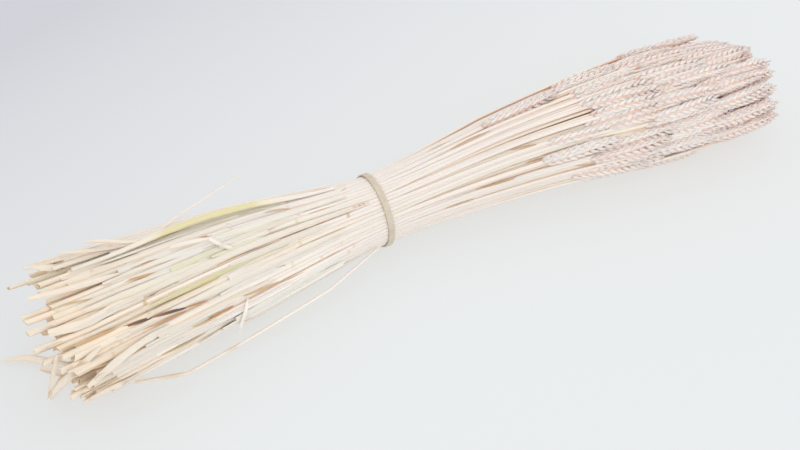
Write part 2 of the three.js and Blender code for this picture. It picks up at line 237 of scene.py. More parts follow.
# Loose strips: how many, and the angles where they may be long, are short or lie low on the straws
STRIP_COUNT = 126
LONG_STRIPS = (88, 145)
SHORT_STRIPS = (139, 156)
LOW_STRIPS = (50, 100)

# Radius of the straws and of the fillers where the band presses them, and room between a straw and its sheath
PRESSED_RADIUS = 0.0018
FILLER_PRESSED_RADIUS = 0.0015
WRAP_ROOM = 1.16

# How many fillers, wrapped sheaths and loose strips go into one piece
FILLERS_TO_A_PIECE = 9
WRAPS_TO_A_PIECE = 15
STRIPS_TO_A_PIECE = 14

# The rubber band: the rounding of its edges, how far it presses in, how it ripples over the straws and waves,
# and how far it strays along the bundle
BAND_ROUNDING = 0.00028
BAND_PRESS = 0.00030
BAND_RIPPLE = 0.00014
BAND_WAVE = 0.00006
BAND_STRAY = 0.0004

# The camera, as it stood for the photograph: its place and its turns in degrees
CAMERA_LENS = 50
CAMERA_SENSOR = 36
CAMERA_PLACE = (-0.2883, -0.5832, 0.6137)
CAMERA_TURNS = (47.6, 0, -28)

# Seeds of the draws
SEEDS = {
    "fillers": 77,
    "straws": 101,
    "ears": 202,
    "sheaths": 303,
    "wraps": 404,
    "tails": 505,
    "strays": 606,
    "strips": 707,
}

# Height above the floor that the lowest points keep
FLOOR_ROOM = 0.0004

# The straw as it is modelled: rows along it, and which of them are its nodes and the foot of its ear
STRAW_SIDES = 10
STRAW_ROWS = 26
LOW_NODE_ROW = 3
HIGH_NODE_ROW = 9
NECK_ROW = 23

# The wrapped sheath as it is modelled
WRAP_SIDES = 12
WRAP_ROWS = 16

# The ear as it is modelled
SPIKELETS = 20
CORE_SIDES = 8
CORE_ROWS = 10
EAR_SHAPES = 5
HIDDEN_RING = 3.2

BAND_LOW, BAND_HIGH = (Vector(corner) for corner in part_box("band"))
BAND_MIDDLE = (BAND_LOW + BAND_HIGH) / 2


def srgb(red, green, blue):
    """A screen colour of 0 to 255 as the linear colour that materials take."""
    return tuple((value / 255) ** 2.2 for value in (red, green, blue))


# Settings a user would change


class WheatSettings(bpy.types.PropertyGroup):
    straw_radius: bpy.props.FloatProperty(
        name="Straw radius",
        description="Radius of a straw between the cut end and the band",
        default=0.0022, min=0.001, max=0.003, subtype="DISTANCE", unit="LENGTH",
    )
    neck_radius: bpy.props.FloatProperty(
        name="Neck radius",
        description="Radius of a straw just under its ear",
        default=0.00145, min=0.0006, max=0.002, subtype="DISTANCE", unit="LENGTH",
    )
    filler_radius: bpy.props.FloatProperty(
        name="Filler radius",
        description="Radius of the thinner straws that lie between the outer ones",
        default=0.0019, min=0.0008, max=0.0025, subtype="DISTANCE", unit="LENGTH",
    )
    husk_length: bpy.props.FloatProperty(
        name="Husk length",
        description="Length of one husk of a spikelet",
        default=0.0112, min=0.006, max=0.016, subtype="DISTANCE", unit="LENGTH",
    )
    husk_width: bpy.props.FloatProperty(
        name="Husk width",
        description="Width of one husk of a spikelet",
        default=0.0046, min=0.002, max=0.006, subtype="DISTANCE", unit="LENGTH",
    )
    sheath_thickness: bpy.props.FloatProperty(
        name="Sheath thickness",
        description="Thickness of a papery leaf sheath",
        default=0.00028, min=0.0001, max=0.001, subtype="DISTANCE", unit="LENGTH",
    )
    band_width: bpy.props.FloatProperty(
        name="Band width",
        description="Width of the rubber band along the bundle",
        default=BAND_HIGH.x - BAND_LOW.x, min=0.002, max=0.012, subtype="DISTANCE", unit="LENGTH",
    )
    band_thickness: bpy.props.FloatProperty(
        name="Band thickness",
        description="Thickness of the rubber band",
        default=0.0012, min=0.0004, max=0.003, subtype="DISTANCE", unit="LENGTH",
    )
    straw_colour: bpy.props.FloatVectorProperty(
        name="Straw", description="Main colour of the bleached straws",
        default=srgb(246, 240, 234), size=3, min=0, max=1, subtype="COLOR",
    )
    leaf_colour: bpy.props.FloatVectorProperty(
        name="Leaf", description="Main colour of the papery leaf sheaths",
        default=srgb(250, 245, 238), size=3, min=0, max=1, subtype="COLOR",
    )
    green_colour: bpy.props.FloatVectorProperty(
        name="Green straw", description="Colour of the few straws that kept some green",
        default=srgb(234, 230, 194), size=3, min=0, max=1, subtype="COLOR",
    )
    ear_colour: bpy.props.FloatVectorProperty(
        name="Ear", description="Main colour of the ears",
        default=srgb(255, 238, 228), size=3, min=0, max=1, subtype="COLOR",
    )
    # Painted shade: the colour mixed in deep between the straws, where shade falls
    crevice_colour: bpy.props.FloatVectorProperty(
        name="Crevices", description="Colour between the husks and deep between the straws",
        default=srgb(236, 160, 104), size=3, min=0, max=1, subtype="COLOR",
    )
    rubber_colour: bpy.props.FloatVectorProperty(
        name="Rubber", description="Colour of the rubber band",
        default=srgb(208, 198, 182), size=3, min=0, max=1, subtype="COLOR",
    )
    floor_colour: bpy.props.FloatVectorProperty(
        name="Floor", description="Colour of the surface under the bundle",
        default=srgb(109, 127, 137), size=3, min=0, max=1, subtype="COLOR",
    )
    floor_glow: bpy.props.FloatProperty(
        name="Floor glow",
        description="Light that the surface under the bundle gives off, which keeps its shadow faint",
        default=0.64, min=0, max=1,
    )


# Draws and courses


class Draws:
    """Seeded draws between -1 and 1, the same ones as the solids use."""

    def __init__(self, seed):
        self.state = seed

    def __call__(self):
        self.state = (self.state * 1664525 + 1013904223) % 4294967296
        return self.state / 4294967296 * 2 - 1

    def between(self, low, high):
        return low + (high - low) * (self() + 1) / 2


def outline_at(x, key):
    """Smooth course of one of the outline's values through its stations."""
    stations = np.array(STATIONS["x"])
    values = np.array(STATIONS[key])
    before = np.maximum(np.arange(len(stations)) - 1, 0)
    after = np.minimum(np.arange(len(stations)) + 1, len(stations) - 1)
    slopes = (values[after] - values[before]) / (stations[after] - stations[before])
    x = np.asarray(x, dtype=float)
    index = np.clip(np.searchsorted(stations, x) - 1, 0, len(stations) - 2)
    span = stations[index + 1] - stations[index]
    t = np.clip((x - stations[index]) / span, 0, 1)
    blend = t * t * (3 - 2 * t)
    bow = t * (1 - t) * span * ((1 - t) * slopes[index] - t * slopes[index + 1])
    return values[index] + (values[index + 1] - values[index]) * blend + bow


BUILD_MIDDLE = Vector((0, float(outline_at(0, "sideways")), float(outline_at(0, "lowest")) + PACK_RADIUS))
SHIFT = np.array(BAND_MIDDLE - BUILD_MIDDLE)
HEX_STEPS = ((1, 0), (0, 1), (-1, 1), (-1, 0), (0, -1), (1, -1))


def direction_at(angle):
    return np.array((math.cos(angle), math.sin(angle)))


def tangent_at(angle):
    return np.array((-math.sin(angle), math.cos(angle)))


def packed_place(a, b):
    """A site of the hexagonal packing, moved out to a round ring."""
    ring = max(abs(a), abs(b), abs(a + b))
    if ring == 0:
        return np.zeros(2)
    across, up = a + b / 2, b * math.sqrt(3) / 2
    corner = math.floor(math.atan2(up, across) / (math.pi / 3) + 1e-6) * math.pi / 3
    along = (math.cos(corner) * up - math.sin(corner) * across) / (ring * math.sin(math.pi / 3))
    angle = corner + along * math.pi / 3
    return ring * PITCH * direction_at(angle)


def ring_sites(ring):
    sites = []
    for side in range(6):
        (a0, b0), (a1, b1) = HEX_STEPS[side], HEX_STEPS[(side + 1) % 6]
        for place in range(ring):
            sites.append(((ring - place) * a0 + place * a1, (ring - place) * b0 + place * b1))
    return sites


class Stalk:
    """Where one straw runs in the bundle, and where its ear begins and ends."""

    def __init__(self, place, draw, tier):
        self.place = np.array(place, dtype=float)
        self.ring = np.linalg.norm(self.place) / PITCH
        self.tier = tier
        self.wander_rear = np.array((draw() * WANDER_ACROSS, draw() * WANDER_UP))
        self.wander_fore = np.array((draw() * WANDER_ACROSS, draw() * WANDER_UP)) * HEAD_WANDER
        self.cut_x = CUT_END_X + CUT_END_STAGGER * abs(draw())
        rounding = HEAD_ROUNDING * (self.ring / RING_COUNT) ** 2
        self.ear_tip = TIP_X - TIER_STEP * tier - rounding + TIP_JITTER * (draw() - 1)
        self.ear_base = self.ear_tip - EAR_LENGTH - EAR_LENGTH_JITTER * draw()
        self.turn = math.atan2(self.place[1], self.place[0]) + math.pi / 2 + EAR_TURN * draw()
        self.stray = np.zeros(2)
        self.nod = np.zeros(2)
        self.sway = np.zeros(2)
        self.node_x = None

    def middle(self, x):
        """Middle of the straw at each x, in the frame."""
        x = np.atleast_1d(np.asarray(x, dtype=float))
        away = np.minimum(np.abs(x) / WANDER_REACH, 1)
        wander = np.where(x[:, None] < 0, self.wander_rear, self.wander_fore) * away[:, None]
        wander = wander + self.stray * (np.minimum(x, 0) / CUT_END_X)[:, None] ** 2
        wander = wander + self.nod * np.clip((x - 0.17) / 0.22, 0, 1.2)[:, None] ** 2
        wander = wander + self.sway * np.sin(np.pi * np.clip(x / 0.30, 0, 1))[:, None]
        lowest = outline_at(x, "lowest")
        half_width, half_height = outline_at(x, "half_width"), outline_at(x, "half_height")
        y = self.place[0] / PACK_RADIUS * half_width + wander[:, 0] + outline_at(x, "sideways")
        z = lowest + half_height * (1 + self.place[1] / PACK_RADIUS) + wander[:, 1]
        return np.stack((x, y, np.maximum(z, lowest)), axis=1) + SHIFT

    def outward(self):
        return np.array((0.0, *self.place)) / max(np.linalg.norm(self.place), 1e-9)


def make_stalks():
    """The stalks of the solids, in their groups of two, with three in the middle one."""
    draw = Draws(SEED)
    rings = []
    for ring in range(1, RING_COUNT + 1):
        rings.append([Stalk(packed_place(a, b), draw, (a - b) % 3) for a, b in ring_sites(ring)])
    for stalk in rings[-1][4::EARLY_EVERY]:
        stalk.ear_tip -= EARLY_STEP
        stalk.ear_base -= EARLY_STEP
        stalk.wander_fore = stalk.place / np.linalg.norm(stalk.place) * EARLY_STAND_OFF
    groups = [stalks[i : i + 2] for stalks in rings for i in range(0, len(stalks), 2)]
    groups[0].insert(0, Stalk((0.0, 0.0), draw, 0))
    return groups, draw


GROUPS, SHEATH_DRAW = make_stalks()
OUTER_STALKS = [stalk for group in GROUPS[-3 * RING_COUNT :] for stalk in group]


def amount_near(angle, middle, reach, amount):
    """An amount at an angle round the bundle: all of it at its middle, in degrees, and less away from it."""
    return amount * math.exp(-(((math.degrees(angle) % 360 - middle) / reach) ** 2))


def loosen(stalk, draw, amount):
    """Small liberties of a hand-tied bundle: straws cross a little, and ears nod in towards its end."""
    angle = math.atan2(stalk.place[1], stalk.place[0])
    out = stalk.place / max(np.linalg.norm(stalk.place), 1e-9)
    part = min(stalk.ring / RING_COUNT, 1) ** 2
    stalk.stray = stalk.stray + tangent_at(angle) * amount * draw()
    stalk.nod = out * (NOD_EITHER_WAY * draw() - NOD_IN * part) + tangent_at(angle) * NOD_ASIDE * draw()
    stalk.nod[1] -= part * amount_near(angle, *LOWER_EARS)
    stalk.sway = tangent_at(angle) * 0.7 * amount * draw()
    stalk.cut_x = max(stalk.cut_x - part * amount_near(angle, *LONGER_STRAWS), LONGEST_LOOSE_CUT_X)


def widest_gap(stalks, x):
    """Angle round the bundle at the middle of the widest gap that some stalks leave at x."""
    points = np.array([stalk.middle(x)[0] for stalk in stalks]) - SHIFT
    across = (points[:, 1] - outline_at(x, "sideways")) / outline_at(x, "half_width")
    up = (points[:, 2] - outline_at(x, "lowest")) / outline_at(x, "half_height") - 1
    angles = np.sort(np.arctan2(up, across))
    gaps = np.diff(np.append(angles, angles[0] + 2 * math.pi))
    widest = int(np.argmax(gaps))
    return float(angles[widest] + gaps[widest] / 2)


def make_fillers():
    """Thinner straws in the gaps of the outer rings, each with an ear in the tier its neighbours leave.

    The stalks of the solids are loosened here too, in the same run of draws.
    """
    draw = Draws(SEEDS["fillers"])
    fillers = []
    for i, stalk in enumerate(OUTER_STALKS):
        following = OUTER_STALKS[(i + 1) % len(OUTER_STALKS)]
        middle = (stalk.place + following.place) / 2
        place = middle / np.linalg.norm(middle) * (PACK_RADIUS + 0.0002 + 0.0003 * draw())
        fillers.append(Stalk(place, draw, (3 - stalk.tier - following.tier) % 3))
    for ring, count in FILLER_RINGS:
        for i in range(count):
            angle = (i + 0.5 + 0.15 * draw()) / count * 2 * math.pi
            fillers.append(Stalk(direction_at(angle) * PITCH * ring, draw, (i + 1) % 3))
    hidden = fillers[-FILLER_RINGS[-1][1] :]
    for filler in fillers:
        filler.wander_rear = np.array([reach * draw() for reach in FILLER_WANDER_REAR])
        filler.wander_fore = np.array([reach * draw() for reach in FILLER_WANDER_FORE])
        filler.cut_x = draw.between(*FILLER_CUT_ENDS)
        filler.ear_tip += FILLER_TIP_JITTER * draw()
        filler.ear_base = filler.ear_tip - draw.between(*FILLER_EAR_LENGTHS)
        loosen(filler, draw, FILLER_STRAY)
    for stalk in sum(GROUPS, []):
        loosen(stalk, draw, STALK_STRAY)
    for index, ear_base, ear_tip in LONE_EARS:
        fillers[index].ear_base, fillers[index].ear_tip = ear_base, ear_tip
        fillers[index].turn = LONE_EAR_TURN
    fillers[DARK_NODE_FILLER].node_x = DARK_NODE_X
    fillers[LONGEST_FILLER].cut_x = LONGEST_CUT_X
    for index, stray in GAP_FILLERS:
        angle = math.atan2(fillers[index].place[1], fillers[index].place[0])
        fillers[index].stray = tangent_at(angle) * stray
    for degrees, ear_base, ear_tip in PLACED_FILLERS:
        out = direction_at(math.radians(degrees))
        filler = Stalk(out * PITCH * EXTRA_RING, draw, 0)
        filler.wander_fore *= 0.2
        filler.nod = out * -0.004
        filler.cut_x = draw.between(*FILLER_CUT_ENDS)
        filler.ear_base, filler.ear_tip = ear_base, ear_tip
        fillers.append(filler)
    for i in range(EXTRA_FILLERS):
        shown = OUTER_STALKS + [filler for filler in fillers if filler not in hidden]
        angle = widest_gap(shown, EXTRA_STATIONS[i % len(EXTRA_STATIONS)])
        filler = Stalk(direction_at(angle) * PITCH * EXTRA_RING, draw, i % 2)
        filler.wander_fore *= 0.3
        filler.cut_x = draw.between(*FILLER_CUT_ENDS)
        loosen(filler, draw, EXTRA_STRAY)
        fillers.append(filler)
    return fillers


FILLERS = make_fillers()


def heading(points, parts, rounding=1.0):
    """Directions of a course at the given parts of its length."""
    ahead = through_points(points, np.minimum(parts + 0.01, 1), rounding)
    ahead -= through_points(points, np.maximum(parts - 0.01, 0), rounding)
    return ahead / np.maximum(np.linalg.norm(ahead, axis=1, keepdims=True), 1e-9)


def through_points(points, parts, rounding=1.0):
    """Smooth course through points, at the given parts of its length."""
    points = np.asarray(points, dtype=float)
    steps = np.linalg.norm(np.diff(points, axis=0), axis=1)
    marks = np.concatenate(((0,), np.cumsum(steps)))
    tangents = np.gradient(points, marks, axis=0) * rounding
    at = np.clip(np.asarray(parts, dtype=float), 0, 1) * marks[-1]
    index = np.clip(np.searchsorted(marks, at, side="right") - 1, 0, len(points) - 2)
    span = (marks[index + 1] - marks[index])[:, None]
    t = ((at - marks[index])[:, None]) / span
    first = (1 + 2 * t) * (1 - t) ** 2 * points[index] + t * (1 - t) ** 2 * span * tangents[index]
    second = t**2 * (3 - 2 * t) * points[index + 1] + t**2 * (t - 1) * span * tangents[index + 1]
    return first + second


# Modelling by hand


SELECT_MODES = {"VERT": (True, False, False), "EDGE": (False, True, False), "FACE": (False, False, True)}


def finish_editing():
    if bpy.context.object and bpy.context.object.mode != "OBJECT":
        bpy.ops.object.mode_set(mode="OBJECT")


def clear_selection():
    finish_editing()
    bpy.ops.object.select_all(action="DESELECT")


def take_up(piece):
    """Selects one piece and no other, and makes it the active one."""
    clear_selection()
    piece.select_set(True)
    bpy.context.view_layer.objects.active = piece


def pick(piece, kind, test):
    """Selects the corners, edges or faces that a test picks by their place, and opens the piece for editing."""
    take_up(piece)
    mesh = piece.data
    for items in (mesh.vertices, mesh.edges, mesh.polygons):
        items.foreach_set("select", [False] * len(items))
    if kind == "VERT":
        for vertex in mesh.vertices:
            vertex.select = test(vertex.co)
    elif kind == "EDGE":
        for edge in mesh.edges:
            edge.select = test(*(mesh.vertices[end].co for end in edge.vertices))
    else:
        for face in mesh.polygons:
            face.select = test(face.center, face.normal)
    bpy.context.tool_settings.mesh_select_mode = SELECT_MODES[kind]
    bpy.ops.object.mode_set(mode="EDIT")


def apply_place(piece):
    take_up(piece)
    bpy.ops.object.transform_apply(location=True, rotation=True, scale=True)


def apply_modifiers(piece):
    take_up(piece)
    for modifier in list(piece.modifiers):
        bpy.ops.object.modifier_apply(modifier=modifier.name)


def points_of(piece):
    points = np.empty(len(piece.data.vertices) * 3)
    piece.data.vertices.foreach_get("co", points)
    return points.reshape(-1, 3)


def place_points(piece, points):
    piece.data.vertices.foreach_set("co", np.ascontiguousarray(points).ravel())
    piece.data.update()


def set_values(piece, name, values):
    """Stores a number or a vector at each point of a piece, for its material."""
    values = np.asarray(values, dtype=float)
    count = len(piece.data.vertices)
    vector = values.size == count * 3
    layer = piece.data.attributes.get(name)
    if layer is None:
        layer = piece.data.attributes.new(name, "FLOAT_VECTOR" if vector else "FLOAT", "POINT")
    if values.size == 1:
        values = np.full(count, float(values))
    layer.data.foreach_set("vector" if vector else "value", values.ravel())


def start_values(piece, **values):
    """Stores the first values of a model, with its own points as its grain."""
    for name, value in values.items():
        set_values(piece, name, value)
    set_values(piece, "grain", points_of(piece))


def values_of(piece, name):
    values = np.empty(len(piece.data.vertices))
    piece.data.attributes[name].data.foreach_get("value", values)
    return values


def copy_of(master):
    piece = master.copy()
    piece.data = master.data.copy()
    bpy.context.collection.objects.link(piece)
    return piece


def join(pieces, name):
    clear_selection()
    for piece in pieces:
        piece.select_set(True)
    bpy.context.view_layer.objects.active = pieces[0]
    if len(pieces) > 1:
        bpy.ops.object.join()
    pieces[0].name = name
    pieces[0].data.name = name
    return pieces[0]


def smooth(piece, degrees):
    take_up(piece)
    bpy.ops.object.shade_smooth_by_angle(angle=math.radians(degrees))


def discard(*masters):
    finish_editing()
    for master in masters:
        bpy.data.meshes.remove(master.data)


def hand_over(pieces, name, slot, material, *nodes):
    """Joins finished pieces in one, and gives it its material and its place on the bundle. The slot it is given
    is not used.
    """
    piece = join(pieces, name)
    piece.data.materials.clear()
    piece.data.materials.append(material)
    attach(piece, "root")
    if nodes:
        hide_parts(*nodes)


def in_lots(items, size):
    """Numbered lots of a list, each as long as given."""
    return enumerate((items[first : first + size] for first in range(0, len(items), size)), 1)


def add_tube(sides, ends="NGON"):
    """A tube of unit length and radius along X."""
    clear_selection()
    bpy.ops.mesh.primitive_cylinder_add(
        vertices=sides, radius=1, depth=1, end_fill_type=ends,
        location=(0.5, 0, 0), rotation=(0, math.pi / 2, 0),
    )
    tube = bpy.context.object
    apply_place(tube)
    return tube


def cut_in_rows(tube, rows):
    pick(tube, "EDGE", lambda one, other: abs(one.x - other.x) > 0.5)
    bpy.ops.mesh.subdivide(number_cuts=rows - 1)


# Straws


def model_straw():
    """One straw of unit length along X and unit radius, with two nodes and a hollow cut end."""
    straw = add_tube(STRAW_SIDES)
    cut_in_rows(straw, STRAW_ROWS)
    for row in (LOW_NODE_ROW, HIGH_NODE_ROW):
        x = row / STRAW_ROWS
        pick(straw, "VERT", lambda place: abs(place.x - x) < 0.2 / STRAW_ROWS)
        bpy.ops.transform.resize(value=(1, 1.2, 1.2), center_override=(x, 0, 0))
    pick(straw, "FACE", lambda centre, normal: centre.x < 0.001 and normal.x < -0.9)
    bpy.ops.mesh.inset(thickness=0.26)
    bpy.ops.mesh.extrude_region_move(TRANSFORM_OT_translate={"value": (0.4 / STRAW_ROWS, 0, 0)})
    finish_editing()
    smooth(straw, 50)
    points = points_of(straw)
    radius = np.linalg.norm(points[:, 1:], axis=1)
    nodes = [np.abs(points[:, 0] * STRAW_ROWS - row) < 0.2 for row in (LOW_NODE_ROW, HIGH_NODE_ROW)]
    hollow = (radius < 0.85) & (points[:, 0] < 0.5)
    start_values(straw, node=nodes[0] | nodes[1], hollow=hollow, tone=0.5, depth=0, inward=0, rust=0)
    return straw


def straw_radius_at(x, low, pressed, high):
    """Radius of a straw: low down, where the band presses it, and high up under its ear."""
    return np.interp(x, (-0.12, -0.02, 0.02, 0.08, 0.22), (low, pressed, pressed, 0.5 * low + 0.5 * high, high))


def lay_straw(master, shape, stalk, draw, radii):
    """Copies the straw along a stalk's course, with its nodes and its cut end in their own places."""
    low, pressed, high = radii
    straw = copy_of(master)
    rows = (0, LOW_NODE_ROW - 1, LOW_NODE_ROW, LOW_NODE_ROW + 1)
    rows += (HIGH_NODE_ROW - 1, HIGH_NODE_ROW, HIGH_NODE_ROW + 1, NECK_ROW, STRAW_ROWS)
    low_node = stalk.cut_x + draw.between(0.016, 0.085)
    if stalk.node_x is not None:
        low_node = stalk.node_x
        set_values(straw, "node", 2.4 * values_of(straw, "node"))
    high_node = draw.between(max(-0.135, low_node + 0.03), -0.03)
    neck = stalk.ear_base
    places = (stalk.cut_x, low_node - 0.002, low_node, low_node + 0.0026)
    places += (high_node - 0.002, high_node, high_node + 0.0026, neck, neck + 0.8 * (stalk.ear_tip - neck))
    x = np.interp(shape[:, 0] * STRAW_ROWS, rows, places)
    size = 1 + 0.13 * draw()
    radius = straw_radius_at(x, low * size, pressed, high * size)
    radius = np.where(x > neck, radius * np.interp(x, (neck, stalk.ear_tip), (0.9, 0.3)), radius)
    flat = draw.between(0.0, 1.0)
    flat = flat * np.interp(x, (-0.2, -0.03, 0.06), (1, 0.45, 0.1))
    angle = math.atan2(stalk.place[1], stalk.place[0]) + math.pi / 2 + 0.45 * draw()
    y = shape[:, 1] * radius * (1 + 0.42 * flat)
    z = shape[:, 2] * radius * (1 - 0.42 * flat)
    points = stalk.middle(x)
    slant = 0.7 * draw() * (shape[:, 0] < 0.5 / STRAW_ROWS)
    points[:, 0] += slant * y
    points[:, 1] += y * math.cos(angle) - z * math.sin(angle)
    points[:, 2] += y * math.sin(angle) + z * math.cos(angle)
    place_points(straw, points)
    # Painted shade: the sides of the straw that face into the bundle are marked, to be coloured darker and
    # warmer as shade between the straws
    section = points - stalk.middle(x)
    facing = section @ stalk.outward() / np.maximum(np.linalg.norm(section, axis=1), 1e-9)
    set_values(straw, "inward", np.clip((0.35 - facing) / 0.6, 0, 1))
    offset = 900 * draw()
    grain = np.stack((x / MM + offset, shape[:, 1] * 2 + offset, shape[:, 2] * 2), axis=1)
    set_values(straw, "grain", grain)
    set_values(straw, "tone", draw.between(0, 1))
    # Painted shade: straws of the inner rings are marked, to be tinted gold as the warm shade in the gaps
    # between the outer straws
    set_values(straw, "depth", min(max(1 - stalk.ring / RING_COUNT, 0) * 3, 1))
    set_values(straw, "rust", max(draw(), 0) * np.exp(-(((x - neck) / 0.007) ** 2)))
    return straw


# Ears


def model_husk():
    """One husk along X: a boat with a keel on its upper side and a short beak."""
    clear_selection()
    bpy.ops.mesh.primitive_uv_sphere_add(
        segments=6, ring_count=4, radius=0.5, location=(0.5, 0, 0), rotation=(0, math.pi / 2, 0)
    )
    husk = bpy.context.object
    apply_place(husk)
    pick(husk, "VERT", lambda place: 0.1 < place.x < 0.2)
    bpy.ops.transform.resize(value=(1, 0.82, 0.9), center_override=(0.15, 0, 0))
    pick(husk, "VERT", lambda place: 0.45 < place.x < 0.55)
    bpy.ops.transform.translate(value=(-0.06, 0, 0))
    pick(husk, "VERT", lambda place: 0.8 < place.x < 0.95)
    bpy.ops.transform.translate(value=(-0.08, 0, 0))
    bpy.ops.transform.resize(value=(1, 0.72, 0.8), center_override=(0.78, 0, 0))
    pick(husk, "VERT", lambda place: place.z < -0.05 and place.x < 0.9)
    bpy.ops.transform.resize(value=(1, 1, 0.45), center_override=(0.5, 0, 0))
    pick(husk, "VERT", lambda place: place.x > 0.97)
    bpy.ops.transform.translate(value=(0.2, 0, 0.12))
    finish_editing()
    smooth(husk, 70)
    points = points_of(husk)
    # Painted shade and highlight: the husk's underside, towards the ear's body, is marked for salmon brown, its
    # keel for a paler colour
    start_values(
        husk, part=np.clip(points[:, 0], 0, 1), keel=np.clip(points[:, 2] * 3, 0, 1),
        under=np.clip(-points[:, 2] * 6, 0, 1), husk_tone=0.5, crevice=0, tone=0.5, depth=0, inward=0, rust=0,
    )
    return husk


def model_core():
    """The body of an ear under its husks: a slim spindle along X."""
    core = add_tube(CORE_SIDES)
    cut_in_rows(core, CORE_ROWS)
    pick(core, "VERT", lambda place: not 0.01 < place.x < 0.99)
    bpy.ops.transform.resize(value=(1, 0.4, 0.4), center_override=(0.5, 0, 0))
    finish_editing()
    smooth(core, 70)
    # Painted shade: the whole body is marked to take the salmon-brown shade between the husks
    start_values(
        core, part=0.5, keel=0, under=0, husk_tone=0.5, crevice=1, tone=0.5, depth=0, inward=0, rust=0
    )
    return core


def ear_swell(part):
    narrowing = 1 - 0.45 * np.clip((part - 0.5) / 0.5, 0, 1) ** 1.5
    return 0.12 + 0.88 * narrowing * np.sin(np.pi * np.minimum(0.17 + 0.83 * part, 1)) ** 0.72


def husk_placing(direction, keel, size, root):
    """Turns a husk along a direction with its keel towards another, and scales it."""
    along = Vector(direction).normalized()
    up = Vector(keel)
    up = (up - along * up.dot(along)).normalized()
    across = up.cross(along)
    turn = Matrix((along, across, up)).transposed()
    return np.array(turn @ Matrix.Diagonal(size)), np.array(root)


# Husks of a spikelet: side through the ear, spread, how far round its keel turns, length and where it is rooted
SPIKELET_HUSKS = (
    (1, 0.26, 1.15, 0.80, 1.35),
    (-1, 0.26, 1.15, 0.80, 1.35),
    (1, 0.15, 0.60, 1.00, 0.85),
    (-1, 0.15, 0.60, 1.00, 0.85),
    (0, 0.0, 0.0, 0.86, 0.0),
)


def model_ear(husk, core, draw, settings, name, fan=SPIKELET_HUSKS):
    """An ear along X: spikelets in two rows, each a fan of husks, round a slim body."""
    shape = points_of(husk)
    body = copy_of(core)
    points = points_of(core)
    swell = ear_swell(points[:, 0])
    points *= np.stack((np.full(len(points), 0.93 * EAR_LENGTH), 0.0034 * swell, 0.0029 * swell), axis=1)
    place_points(body, points)
    husks = [body]
    for number in range(SPIKELETS + 1):
        last = number == SPIKELETS
        side = 0 if last else (1 if number % 2 else -1)
        part = 0.01 + 0.885 * number / SPIKELETS
        swell = float(ear_swell(part))
        for through, spread, keel_turn, length, rooted in fan:
            out = 0.33 + 0.05 * draw()
            if last:
                out = 0.1
                spread *= 0.6
            direction = (1, side * out, through * (spread + 0.04 * draw()))
            keel = (0, (side or 1) * math.cos(keel_turn), through * math.sin(keel_turn))
            long = settings.husk_length * length * (0.55 + 0.45 * swell) * (1 + 0.06 * draw())
            wide = settings.husk_width * (0.5 + 0.5 * swell) * (1 + 0.08 * draw())
            aside = side * MM * (1.1 + 0.5 * (through == 0)) * swell
            root = (part * EAR_LENGTH, aside, through * rooted * MM * swell)
            turn, root = husk_placing(direction, keel, (long, wide, wide * 0.85), root)
            copy = copy_of(husk)
            points = shape @ turn.T + root
            place_points(copy, points)
            set_values(copy, "husk_tone", draw.between(0, 1))
            offset = 300 * draw()
            set_values(copy, "grain", shape * (9, 4, 4) + offset)
            # Painted shade: husks are marked darker towards the ear's middle and towards their feet
            axis_distance = np.linalg.norm(points[:, 1:] / (0.0053, 0.0045), axis=1) / max(swell, 0.5)
            set_values(copy, "crevice", np.clip(1.1 - axis_distance - shape[:, 0] * 0.8, 0, 1))
            husks.append(copy)
    return join(husks, name)


def lay_ear(master, shape, stalk, draw):
    """Copies an ear onto a stalk, along its course and turned about it."""
    ear = copy_of(master)
    length = stalk.ear_tip - stalk.ear_base
    part = shape[:, 0] / EAR_LENGTH
    x = stalk.ear_base + part * length
    bow = 0.006 * draw() * np.clip(part, 0, 1.1) ** 2
    lean = 0.0035 * draw() * np.clip(part, 0, 1.1) ** 2
    twist = stalk.turn + 0.3 * draw() + 0.5 * draw() * part
    across = shape[:, 1] + bow
    through = shape[:, 2] + lean
    middle = stalk.middle(np.clip(x, None, stalk.ear_tip))
    middle[:, 0] = x + SHIFT[0]
    points = middle.copy()
    points[:, 1] += across * np.cos(twist) - through * np.sin(twist)
    points[:, 2] += across * np.sin(twist) + through * np.cos(twist)
    points[:, 2] = np.maximum(points[:, 2], FLOOR_ROOM)
    place_points(ear, points)
    # Painted shade: ear sides that face into the bundle, and ears of the inner rings, are marked to be coloured
    # browner
    section = points - middle
    facing = section @ stalk.outward() / np.maximum(np.linalg.norm(section, axis=1), 1e-4)
    set_values(ear, "inward", np.clip(-facing / 0.8, 0, 1))
    set_values(ear, "tone", draw.between(0, 1))
    set_values(ear, "rust", max(draw(), 0) * np.clip(1 - part / 0.12, 0, 1))
    set_values(ear, "depth", min(max(1 - stalk.ring / RING_COUNT, 0) * 2.4, 1))
    return ear


# Leaf sheaths and ribbons


def model_ribbon(rows=36, columns=6):
    """A flat ribbon of unit length along X, from -1 to 1 across, with a raised midrib."""
    clear_selection()
    bpy.ops.mesh.primitive_grid_add(
        x_subdivisions=rows, y_subdivisions=columns, size=1, location=(0.5, 0, 0)
    )
    ribbon = bpy.context.object
    ribbon.scale = (1, 2, 1)
    apply_place(ribbon)
    pick(ribbon, "VERT", lambda place: abs(place.y) < 0.1)
    bpy.ops.transform.translate(value=(0, 0, 0.35))
    finish_editing()
    wall = ribbon.modifiers.new("Wall", "SOLIDIFY")
    wall.thickness = 1
    wall.offset = 0
    apply_modifiers(ribbon)
    smooth(ribbon, 60)
    start_values(ribbon, edge=np.abs(points_of(ribbon)[:, 1]) > 0.9, tone=0, speckled=0, withered=0)
    return ribbon


